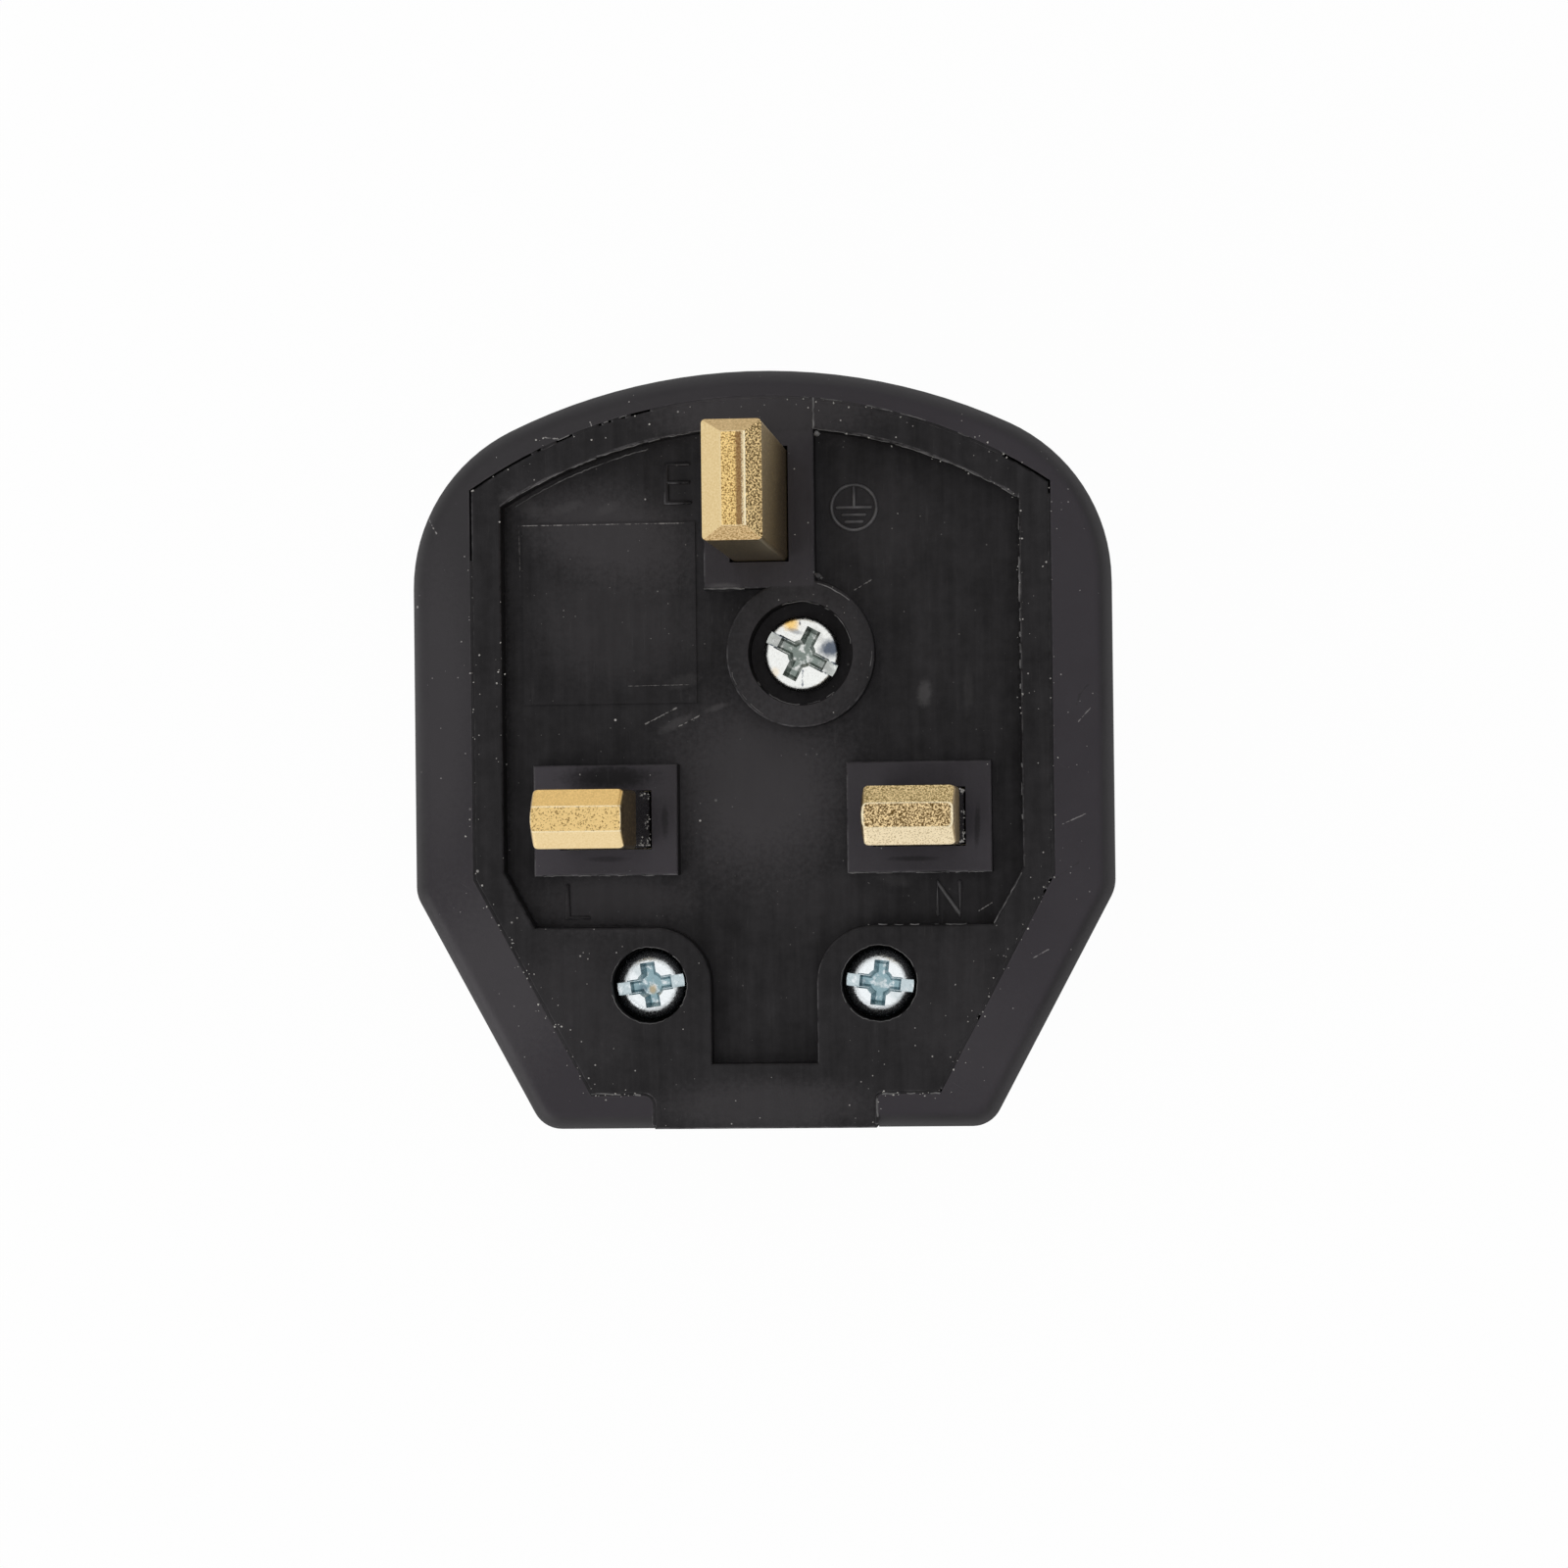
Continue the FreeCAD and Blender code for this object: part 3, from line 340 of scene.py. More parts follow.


# black thermoset of the cover: satin, finely scratched, dusty, with painted light in lighter patches
# towards the left
coverLook = {
    "dark": (0.0105, 0.0100, 0.0105, 1), "light": (0.0185, 0.0177, 0.0185, 1),
    "violet": (0.0156, 0.0127, 0.0170, 1), "worn": (0.060, 0.056, 0.060, 1),
    "dust": (0.50, 0.48, 0.47, 1), "black": (0.004, 0.004, 0.004, 1),
    "glow": (0.034, 0.0315, 0.034, 1), "tint": (1.0, 0.95, 1.0, 1), "shine": 0.40,
    "roughLow": 0.40, "roughHigh": 0.52, "roughSteep": 0.70,
    "scratch": {"Turn": 0.55, "Fineness": 9.0, "Amount": 0.45},
    "fineDust": {"Spacing": 0.45, "Size": 0.055, "Amount": 0.32},
    "coarseDust": {"Spacing": 1.3, "Size": 0.10, "Amount": 0.17},
    "scratchShare": 0.4, "edgeShare": 0.5, "dustShare": 0.7,
    # painted light: lighter patches in the glow colour, towards the left edge and the lower corners
    "paintedLightSpots": [(-19.5, -17.0, 8.0, 12.0, 0.4, 0.8), (-23.0, 3.0, 3.0, 16.0, 0.0, 0.45),
              (15.0, -21.0, 6.0, 6.0, 0.0, 0.3)],
    "scratches": [(-23.8, 17.0, -23.0, 15.6, 0.07, 0.5), (-15.4, 22.3, -14.2, 22.15, 0.06, 0.5),
                  (-11.9, 23.3, -11.8, 23.0, 0.06, 0.6), (22.4, 1.6, 23.3, 2.6, 0.05, 0.3),
                  (21.2, -5.6, 22.8, -4.9, 0.05, 0.3), (19.0, -15.0, 20.1, -14.4, 0.05, 0.3)],
    "cracks": [(23.1, 4.15, 22.5, 3.5, 0.10, 0.7), (22.5, 3.5, 22.3, 2.7, 0.10, 0.7),
               (20.6, -9.45, 22.3, -8.3, 0.09, 0.5)],
}


def makeCoverPlastic(look):
    material, tree, shader = newMaterial("coverPlastic")
    facing = facingOf(tree)
    place = addNode(tree, "SeparateXYZ", {0: placeInMm(tree)}).outputs
    corner = maths(tree, "SUBTRACT", place[0], maths(tree, "MULTIPLY", place[1], 0.8))
    flat = remap(tree, facing[2], 0.90, 0.99)
    steep = remap(tree, facing[2], 0.75, 0.35)
    grain = useGroup(tree, fineGrain, Scale=7.0, Cloud=0.22)
    scratch = useGroup(tree, hairlines, **look["scratch"])
    edge = useGroup(tree, edgeWear, Reach=0.25, Break=1.3)
    drift = driftOf(tree)
    fine = useGroup(tree, dustFlecks, Drift=drift, **look["fineDust"])
    coarse = useGroup(tree, dustFlecks, Drift=drift, **look["coarseDust"])
    uneven = markEdges(tree)
    colour = blendColours(tree, grain["Cloud"], look["dark"], look["light"])
    violet = maths(tree, "MULTIPLY", remap(tree, corner, -30.0, -8.0, 0.1, 0.9), flat)
    colour = blendColours(tree, violet, colour, look["violet"])
    colour = layOver(tree, colour, scratch["Mask"], look["scratchShare"], look["worn"])
    colour = layOver(tree, colour, edge["Mask"], look["edgeShare"], look["worn"])
    # painted light, laid on as lighter patches
    marked = addSpots(tree, colour, look["paintedLightSpots"], look["glow"], uneven)
    marked = addLines(tree, marked, look["cracks"], look["black"], uneven)
    marked = addLines(tree, marked, look["scratches"], look["dust"], uneven)
    colour = blendColours(tree, remap(tree, facing[2], 0.2, 0.45), colour, marked)  # not down the sides
    colour = layOver(tree, colour, fine["Mask"], look["dustShare"], look["dust"])
    colour = blendColours(tree, coarse["Mask"], colour, look["dust"])
    rough = remap(tree, grain["Cloud"], 0.0, 1.0, look["roughLow"], look["roughHigh"])
    rough = blendValues(tree, steep, rough, look["roughSteep"])
    setShader(tree, shader, Base_Color=colour, Roughness=rough, Specular_IOR_Level=look["shine"],
              Specular_Tint=look["tint"], Normal=bumpFrom(tree, grain["Height"], 0.03, 0.35))
    return material


# black thermoset of the base: duller, streaked upright, scuffed, with painted highlights on its broken
# edges, painted light in lighter patches and painted shadow at the foot of the recess walls
baseLook = {
    "dark": (0.0036, 0.0035, 0.0037, 1), "light": (0.0175, 0.0167, 0.0177, 1),
    # edge is the colour of the painted highlights on the rounded edges
    "worn": (0.085, 0.081, 0.082, 1), "edge": (0.15, 0.145, 0.15, 1), "dust": (0.52, 0.50, 0.48, 1),
    "pad": (0.0480, 0.0430, 0.0495, 1), "glow": (0.0390, 0.0362, 0.0384, 1),
    "black": (0.0022, 0.0022, 0.0022, 1),
    "tint": (1.0, 0.96, 1.0, 1), "shine": 0.24, "roughLow": 0.46, "roughHigh": 0.64,
    "draw": {"Turn": math.pi / 2, "Fineness": 3.0, "Amount": 0.8},
    "fineDust": {"Spacing": 0.42, "Size": 0.055, "Amount": 0.38},
    "coarseDust": {"Spacing": 1.2, "Size": 0.10, "Amount": 0.2},
    "drawShare": 0.10, "edgeShare": 0.8, "dustShare": 0.75,
    "pads": [(lineX, pinY, 5.1, 3.9, 0.95), (neutralX, pinY, 5.1, 3.9, 0.72), (0.0, 16.9, 3.9, 5.5, 0.48)],
    # painted light: lighter patches in the glow colour over parts of the recess, panel, bands, islands,
    # tongue and screw boss
    "paintedLightSpots": [(-11.0, 15.5, 9.0, 4.5, 0.3, 0.85), (-0.5, -2.5, 9.5, 9.0, 0.0, 1.0),
              (-10.5, 9.0, 8.0, 6.0, 0.0, 0.38), (0.0, -25.2, 10.0, 2.6, 0.0, 0.70),
              (-13.5, -18.0, 6.0, 6.5, 0.0, 0.33), (13.5, -18.0, 6.0, 6.5, 0.0, 0.2),
              (4.0, -10.5, 6.0, 2.6, 0.0, 0.22), (9.0, 16.0, 4.0, 5.0, 0.0, 0.2),
              (0.5, 23.9, 11.0, 3.2, 0.0, 0.85), (coverScrewX, coverScrewY, 6.8, 6.8, 0.0, 0.6),
              (-11.0, -10.7, 8.0, 3.0, 0.0, 0.75)],
    "scuffs": [(11.5, 3.8, 0.7, 1.3, 0.1, 0.5), (-14.0, 17.4, 1.8, 0.5, -0.25, 0.22),
               (-11.0, 17.3, 1.2, 0.5, -0.4, 0.2), (-6.2, 1.9, 1.9, 0.5, -0.45, 0.35),
               (-3.3, 3.0, 1.2, 0.3, -0.3, 0.45), (-5.6, 4.9, 1.6, 0.7, -0.3, 0.2),
               (-2.6, 11.5, 1.5, 0.35, 0.0, 0.5), (9.2, -9.4, 1.6, 0.6, 0.2, 0.2),
               (-16.9, 17.6, 0.9, 2.2, -1.1, 0.25), (14.6, 4.0, 0.5, 2.2, 0.0, 0.15)],
    # the first is painted shadow above the line pin; the rest are dark smudges on the pads
    "shadowsAndSmudges": [(-10.8, -1.9, 4.4, 1.2, 0.0, 0.85), (-6.9, -5.1, 0.35, 1.6, 0.0, 0.5),
               (-11.0, -7.7, 1.9, 0.3, 0.0, 0.45), (10.7, -7.9, 2.4, 0.25, 0.0, 0.6),
               (15.2, -5.6, 0.28, 2.1, 0.05, 0.6)],
    # painted shadow: dark lines on the recess floor along the foot of its side and lower walls
    "wallFootShadows": [(18.28, 17.4, 18.28, -6.0, 0.20, 0.85), (-18.3, 17.4, -18.3, -8.6, 0.24, 0.85),
              (-18.2, -8.9, -16.4, -12.3, 0.20, 0.8), (-16.2, -12.4, -9.0, -12.45, 0.15, 0.7)],
    "scratches": [(-17.4, 16.15, -5.5, 16.16, 0.035, 0.45), (15.2, -11.65, 16.1, -11.1, 0.05, 0.6),
                  (-17.35, 16.1, -17.3, 12.5, 0.04, 0.15), (-9.6, 4.6, -5.2, 4.65, 0.04, 0.18),
                  (-8.4, 1.9, -6.2, 3.0, 0.06, 0.4), (6.6, 11.2, 7.8, 11.9, 0.05, 0.3),
                  (-6.2, 1.6, -4.4, 2.5, 0.05, 0.4)],
}


def makeBasePlastic(look):
    material, tree, shader = newMaterial("basePlastic")
    place = placeInMm(tree)
    facing = facingOf(tree)
    grain = useGroup(tree, fineGrain, Scale=6.0, Cloud=0.30)
    draw = useGroup(tree, hairlines, **look["draw"])
    edge = useGroup(tree, edgeHighlights, Break=1.1)
    drift = driftOf(tree)
    fine = useGroup(tree, dustFlecks, Drift=drift, **look["fineDust"])
    coarse = useGroup(tree, dustFlecks, Drift=drift, **look["coarseDust"])
    uneven = markEdges(tree)
    drawn = addNode(tree, "Mapping", {0: place, 3: (1.5, 0.11, 0.4)}).outputs[0]
    streak = remap(tree, noise(tree, drawn, 1.0, 4.0, 0.6), 0.36, 0.66)
    blotch = remap(tree, noise(tree, place, 0.9, 4.0, 0.65), 0.34, 0.68)
    tone = maths(tree, "ADD", maths(tree, "MULTIPLY", streak, 0.35), maths(tree, "MULTIPLY", blotch, 0.35))
    tone = maths(tree, "ADD", tone, maths(tree, "MULTIPLY", grain["Cloud"], 0.3))
    colour = blendColours(tree, tone, look["dark"], look["light"])
    marked = colour
    for x, y, halfX, halfY, share in look["pads"]:
        away = useGroup(tree, panelEdge, X=x, Y=y, HalfX=halfX, HalfY=halfY)["Distance"]
        marked = layOver(tree, marked, remap(tree, away, 0.08, -0.12), share, look["pad"])
    # painted light, laid on as lighter patches
    marked = addSpots(tree, marked, look["paintedLightSpots"], look["glow"], uneven)
    # painted shadow above the line pin, and dark smudges on the pads
    marked = addSpots(tree, marked, look["shadowsAndSmudges"], look["black"], uneven)
    # painted shadow along the foot of the recess walls
    marked = addLines(tree, marked, look["wallFootShadows"], look["black"], uneven)
    marked = addSpots(tree, marked, look["scuffs"], look["worn"], uneven)
    marked = addLines(tree, marked, look["scratches"], look["dust"], uneven)
    colour = blendColours(tree, remap(tree, facing[2], 0.2, 0.45), colour, marked)  # not down the sides
    colour = layOver(tree, colour, draw["Mask"], look["drawShare"], look["worn"])
    # painted highlights on the rounded edges, lighter where they face the lower left
    colour = layOver(tree, colour, edge["Mask"], look["edgeShare"], look["edge"])
    colour = layOver(tree, colour, fine["Mask"], look["dustShare"], look["dust"])
    colour = blendColours(tree, coarse["Mask"], colour, look["dust"])
    rough = remap(tree, tone, 0.0, 1.0, look["roughHigh"], look["roughLow"])
    height = maths(tree, "ADD", grain["Height"], maths(tree, "MULTIPLY", draw["Mask"], 0.5))
    setShader(tree, shader, Base_Color=colour, Roughness=rough, Specular_IOR_Level=look["shine"],
              Specular_Tint=look["tint"], Normal=bumpFrom(tree, height, 0.03, 0.4))
    return material


# brass of the pins; each facet of the tip takes its own tones by the way it faces, partly its own finish
# and partly painted light, paler where it faces the lower left; a facet's dull and bright tones, where its
# grain turns from one to the other, how coarse it is and its roughness
linePinLook = {
    "middle": (lineX, pinY), "half": (3.05, 0.84), "round": 0.05, "grain": 8.5, "line": 1.0,
    "side": (0.31, 0.22, 0.105, 1),
    "flat": ((0.24, 0.15, 0.05, 1), (0.84, 0.60, 0.26, 1), 0.40, 0.47, 0.4, 0.30),
    "up": ((0.60, 0.40, 0.15, 1), (0.78, 0.53, 0.21, 1), 0.40, 0.60, 0.15, 0.30),
    "low": ((0.80, 0.60, 0.30, 1), (0.92, 0.73, 0.42, 1), 0.35, 0.65, 0.05, 0.28),
}
neutralPinLook = {
    "middle": (neutralX, pinY), "half": (2.93, 0.82), "round": 0.34, "grain": 9.0, "line": 1.0,
    "side": (0.28, 0.20, 0.095, 1),
    "flat": ((0.13, 0.075, 0.022, 1), (0.98, 0.74, 0.40, 1), 0.46, 0.56, 1.0, 0.32),
    "up": ((0.26, 0.185, 0.065, 1), (0.88, 0.68, 0.36, 1), 0.44, 0.56, 0.8, 0.34),
    "low": ((0.50, 0.38, 0.21, 1), (0.92, 0.78, 0.53, 1), 0.38, 0.50, 0.35, 0.32),
}
earthPinLook = {
    "middle": (0.1, 17.28), "half": (0.76, 3.1), "round": 0.12, "grain": 8.0, "line": 0.35,
    "side": (0.38, 0.275, 0.135, 1), "band": (0.36, 0.72),
    "flat": ((0.30, 0.165, 0.045, 1), (1.0, 0.72, 0.30, 1), 0.43, 0.53, 0.9, 0.30),
    "up": ((0.38, 0.26, 0.11, 1), (0.66, 0.48, 0.25, 1), 0.35, 0.65, 0.08, 0.30),
    "low": ((0.34, 0.20, 0.065, 1), (0.78, 0.57, 0.30, 1), 0.40, 0.58, 0.2, 0.32),
    "left": ((0.72, 0.53, 0.25, 1), (0.86, 0.68, 0.38, 1), 0.35, 0.65, 0.06, 0.28),
    "right": ((0.12, 0.07, 0.02, 1), (0.98, 0.73, 0.36, 1), 0.46, 0.56, 1.2, 0.32),
}
# glint is the colour of painted highlights on the flat of each tip
brassFlank = {
    # front is the front face of the shaft, painted lighter than its sides as painted light
    "specks": (0.86, 0.68, 0.40, 1), "front": (0.50, 0.40, 0.24, 1), "brown": (0.24, 0.13, 0.055, 1),
    "glint": (0.96, 0.84, 0.58, 1), "rough": 0.38, "coarse": 0.2, "speckScale": (4.6, 4.6, 2.2),
    "speckShare": 0.6, "bandShare": 0.85, "bandEdge": 0.06,
}


def makePinBrass(name, look, flank):
    material, tree, shader = newMaterial(name)
    place = placeInMm(tree)
    facing = facingOf(tree)
    grain = noise(tree, place, look["grain"], 3.0, 0.6)
    fine = noise(tree, place, 11.0, 3.0, 0.7)
    grit = maths(tree, "ADD", maths(tree, "MULTIPLY", grain, 0.75), maths(tree, "MULTIPLY", fine, 0.25))
    x, y = look["middle"]
    halfX, halfY = look["half"]
    away = useGroup(tree, panelEdge, X=x, Y=y, HalfX=halfX, HalfY=halfY, Round=look["round"])["Distance"]
    # facets told apart by the way they face, so their tones carry painted light
    masks = {"flat": remap(tree, facing[2], 0.80, 0.90),
             "up": remap(tree, facing[1], 0.35, 0.50),
             "low": remap(tree, facing[1], -0.35, -0.50),
             "left": remap(tree, facing[0], -0.35, -0.50),
             "right": remap(tree, facing[0], 0.35, 0.50)}
    colour, bumps, rough = look["side"], flank["coarse"], flank["rough"]
    for facet, mask in masks.items():
        if facet in look:
            dull, bright, low, high, coarse, gloss = look[facet]
            tone = blendColours(tree, remap(tree, grit, low, high), dull, bright)
            if facet == "flat":
                # painted highlight on the flat outside its panel
                tone = blendColours(tree, remap(tree, away, -0.03, 0.06), tone, flank["glint"])
            colour = blendColours(tree, mask, colour, tone)
            bumps = blendValues(tree, mask, bumps, coarse)
            rough = blendValues(tree, mask, rough, gloss)
    if "band" in look:
        wave = maths(tree, "MULTIPLY", maths(tree, "SUBTRACT", fine, 0.5), 0.5)
        wavy = maths(tree, "ADD", addNode(tree, "SeparateXYZ", {0: place}).outputs[0], wave)
        start, end = look["band"]
        soft = flank["bandEdge"]
        onFlat = remap(tree, away, 0.0, -0.08)
        band = maths(tree, "MULTIPLY", remap(tree, wavy, start - soft, start + soft), onFlat)
        colour = layOver(tree, colour, band, flank["bandShare"], flank["brown"])
        # painted highlight: a bright line at the end of the earth pin's band
        line = maths(tree, "MULTIPLY", remap(tree, wavy, end, end + soft), onFlat)
        line = maths(tree, "MULTIPLY", line, remap(tree, grain, 0.40, 0.55, 0.25, 0.85))
        colour = blendColours(tree, line, colour, flank["glint"])
    # painted highlight along the edge of the panel
    line = remap(tree, maths(tree, "ABSOLUTE", away), 0.07, 0.02)
    worn = remap(tree, fine, 0.35, 0.6, 0.2 * look["line"], 0.9 * look["line"])
    colour = layOver(tree, colour, line, worn, flank["glint"])
    # painted light: the shaft's front face lighter than its sides
    shaft = blendColours(tree, remap(tree, facing[1], -0.5, -0.8), look["side"], flank["front"])
    upright = addNode(tree, "Mapping", {0: place, 3: flank["speckScale"]}).outputs[0]
    specks = remap(tree, noise(tree, upright, 1.0, 4.0, 0.75), 0.50, 0.66)
    shaft = layOver(tree, shaft, specks, flank["speckShare"], flank["specks"])
    tip = remap(tree, facing[2], 0.28, 0.42)
    colour = blendColours(tree, tip, shaft, colour)
    height = maths(tree, "MULTIPLY", grit, bumps)
    setShader(tree, shader, Base_Color=colour, Metallic=1.0, Roughness=rough,
              Normal=bumpFrom(tree, height, 0.14, 0.8))
    return material


# insulation on the shanks: smooth and glossy, with dust
sleeveLook = {
    "dark": (0.004, 0.004, 0.004, 1), "light": (0.009, 0.009, 0.009, 1), "dust": (0.62, 0.60, 0.56, 1),
    "roughLow": 0.18, "roughHigh": 0.32, "fineDust": {"Spacing": 0.30, "Size": 0.07, "Amount": 0.40},
}


def makeSleevePlastic(look):
    material, tree, shader = newMaterial("sleevePlastic")
    grain = useGroup(tree, fineGrain, Scale=4.0, Cloud=0.5)
    drift = driftOf(tree)
    dust = useGroup(tree, dustFlecks, Drift=drift, **look["fineDust"])
    colour = blendColours(tree, grain["Cloud"], look["dark"], look["light"])
    colour = blendColours(tree, dust["Mask"], colour, look["dust"])
    rough = remap(tree, grain["Height"], 0.3, 0.7, look["roughLow"], look["roughHigh"])
    setShader(tree, shader, Base_Color=colour, Roughness=rough,
              Normal=bumpFrom(tree, grain["Height"], 0.02, 0.25))
    return material


# zinc plate of the screws: bright, with painted shade deep in the drive, painted dark reflections as
# blue-grey spots, and straw stains and grey patches
coverScrewLook = {
    "name": "coverScrewZinc", "topZ": 24.8,
    "bright": (0.82, 0.83, 0.81, 1), "driveShade": (0.20, 0.235, 0.215, 1),
    "straw": (0.90, 0.60, 0.20, 1), "darkTone": (0.07, 0.09, 0.13, 1), "grey": (0.34, 0.35, 0.34, 1),
    "roughLow": 0.14, "roughHigh": 0.34,
    "strawSpots": [(2.1, 8.85, 0.85, 0.7, 0.4, 0.95), (0.95, 5.4, 0.5, 0.5, 0.5, 0.25)],
    # painted reflections: dark blue-grey spots on the head
    "darkReflectionSpots": [(4.9, 7.05, 1.15, 0.9, -0.3, 0.95), (2.4, 8.3, 0.8, 0.25, 0.3, 0.5)],
    "greySpots": [(1.2, 7.6, 0.8, 0.45, 0.5, 0.6), (4.5, 5.8, 0.8, 0.45, 0.5, 0.6),
                  (3.95, 8.0, 0.5, 0.9, -0.6, 0.35)],
    "ticks": [(2.75, 8.7, 2.75, 9.35, 0.10, 0.8), (2.9, 4.4, 2.91, 5.5, 0.10, 0.75),
              (0.81, 8.30, 1.91, 7.71, 0.08, 0.9), (0.39, 7.50, 1.49, 6.91, 0.08, 0.9),
              (4.21, 6.49, 5.31, 5.90, 0.08, 0.9), (3.79, 5.69, 4.89, 5.10, 0.08, 0.9)],
}
gripScrewLook = {
    "name": "gripScrewZinc", "topZ": 25.2,
    "bright": (0.82, 0.86, 0.88, 1), "driveShade": (0.26, 0.38, 0.42, 1),
    "straw": (0.50, 0.36, 0.18, 1), "darkTone": (0.10, 0.16, 0.20, 1), "grey": (0.40, 0.48, 0.50, 1),
    "roughLow": 0.14, "roughHigh": 0.36,
    "strawSpots": [(-8.1, -17.0, 0.4, 0.45, 0.3, 0.7)],
    # painted reflections: dark blue-grey spots on the heads
    "darkReflectionSpots": [(-8.8, -16.9, 0.5, 0.35, 0.3, 0.7), (7.0, -16.6, 0.4, 0.3, 0.0, 0.5)],
    "greySpots": [(-8.9, -15.7, 0.8, 0.5, 0.6, 0.4), (9.3, -17.5, 0.9, 0.5, 0.6, 0.4),
                  (gripScrewX, gripScrewY, 0.5, 0.5, 0.0, 0.5)],
    "ticks": [],
}


def makeScrewZinc(look):
    material, tree, shader = newMaterial(look["name"])
    place = placeInMm(tree)
    height = addNode(tree, "SeparateXYZ", {0: place}).outputs[2]
    grain = useGroup(tree, fineGrain, Scale=5.0, Cloud=0.45)
    uneven = markEdges(tree)
    # painted shade: darker deeper in the cross recess, broken by noise
    deep = remap(tree, height, look["topZ"] - 0.15, look["topZ"] - 0.9)
    spots = remap(tree, noise(tree, place, 2.0, 3.0, 0.6), 0.52, 0.64)
    driveShade = maths(tree, "MULTIPLY", deep, remap(tree, spots, 0.0, 1.0, 1.0, 0.25))
    colour = blendColours(tree, driveShade, look["bright"], look["driveShade"])
    colour = addSpots(tree, colour, look["greySpots"], look["grey"], uneven)
    colour = addSpots(tree, colour, look["strawSpots"], look["straw"], uneven)
    # painted reflections, laid on as dark spots; the ticks below are drawn in the same dark tone
    colour = addSpots(tree, colour, look["darkReflectionSpots"], look["darkTone"], uneven)
    colour = addLines(tree, colour, look["ticks"], look["darkTone"], uneven)
    rough = remap(tree, grain["Height"], 0.3, 0.7, look["roughLow"], look["roughHigh"])
    setShader(tree, shader, Base_Color=colour, Metallic=1.0, Roughness=rough,
              Normal=bumpFrom(tree, grain["Height"], 0.05, 0.5))
    return material


# pressed fibre of the washer
washerLook = {
    "dark": (0.16, 0.045, 0.025, 1), "light": (0.36, 0.14, 0.08, 1), "roughLow": 0.6, "roughHigh": 0.8,
}


def makeWasherFibre(look):
    material, tree, shader = newMaterial("washerFibre")
    grain = useGroup(tree, fineGrain, Scale=3.5, Cloud=1.2)
    colour = blendColours(tree, grain["Height"], look["dark"], look["light"])
    rough = remap(tree, grain["Cloud"], 0.0, 1.0, look["roughLow"], look["roughHigh"])
    setShader(tree, shader, Base_Color=colour, Roughness=rough,
              Normal=bumpFrom(tree, grain["Height"], 0.04, 0.5))
    return material


# finishes of one clouded tone: grain and cloud, dark and light, range of roughness, bump
plainLooks = {
    "innerBrass": {  # hidden pieces, faintly drawn
        "grain": (5.0, 0.5), "dark": (0.52, 0.36, 0.13, 1), "light": (0.74, 0.55, 0.25, 1),
        "rough": (0.24, 0.40), "bump": (0.02, 0.3), "metal": 1.0},
    "fuseCeramic": {  # unglazed tube
        "grain": (6.0, 0.7), "dark": (0.70, 0.67, 0.60, 1), "light": (0.82, 0.80, 0.75, 1),
        "rough": (0.5, 0.7), "bump": (0.02, 0.4), "metal": 0.0},
    "fuseNickel": {  # plated caps and the wire between them
        "grain": (5.0, 0.6), "dark": (0.60, 0.59, 0.56, 1), "light": (0.74, 0.73, 0.70, 1),
        "rough": (0.16, 0.30), "bump": (0.02, 0.3), "metal": 1.0},
    # crumb dust also makes the pale crumbs on the sleeves, painted highlights in place of glints
    "crumbDustAndGlints": {  # pale moulding dust, too small for a bump
        "grain": (9.0, 1.6), "dark": (0.20, 0.19, 0.18, 1), "light": (0.62, 0.60, 0.57, 1),
        "rough": (0.55, 0.8), "bump": None, "metal": 0.0},
    # the pale flash also stands in for painted highlights along the edges
    "flashAndHighlightSkin": {  # thin flash, paler than the plastic it hangs on
        "grain": (5.0, 1.1), "dark": (0.018, 0.017, 0.018, 1), "light": (0.17, 0.165, 0.165, 1),
        "rough": (0.35, 0.6), "bump": (0.04, 0.6), "metal": 0.0},
    "markPlastic": {  # rubbed tops of raised marks, greyer than the floor they stand on
        "grain": (5.0, 1.0), "dark": (0.045, 0.043, 0.045, 1), "light": (0.115, 0.111, 0.114, 1),
        "rough": (0.45, 0.65), "bump": (0.03, 0.4), "metal": 0.0},
}


def makePlainFinish(name, look):
    material, tree, shader = newMaterial(name)
    scale, cloud = look["grain"]
    grain = useGroup(tree, fineGrain, Scale=scale, Cloud=cloud)
    colour = blendColours(tree, grain["Cloud"], look["dark"], look["light"])
    rough = remap(tree, grain["Height"], 0.3, 0.7, *look["rough"])
    setShader(tree, shader, Base_Color=colour, Metallic=look["metal"], Roughness=rough)
    if look["bump"]:
        setShader(tree, shader, Normal=bumpFrom(tree, grain["Height"], *look["bump"]))
    return material


coverPlastic = makeCoverPlastic(coverLook)
basePlastic = makeBasePlastic(baseLook)
linePinBrass = makePinBrass("linePinBrass", linePinLook, brassFlank)
neutralPinBrass = makePinBrass("neutralPinBrass", neutralPinLook, brassFlank)
earthPinBrass = makePinBrass("earthPinBrass", earthPinLook, brassFlank)
sleevePlastic = makeSleevePlastic(sleeveLook)
coverScrewZinc = makeScrewZinc(coverScrewLook)
gripScrewZinc = makeScrewZinc(gripScrewLook)
washerFibre = makeWasherFibre(washerLook)
plain = {name: makePlainFinish(name, look) for name, look in plainLooks.items()}

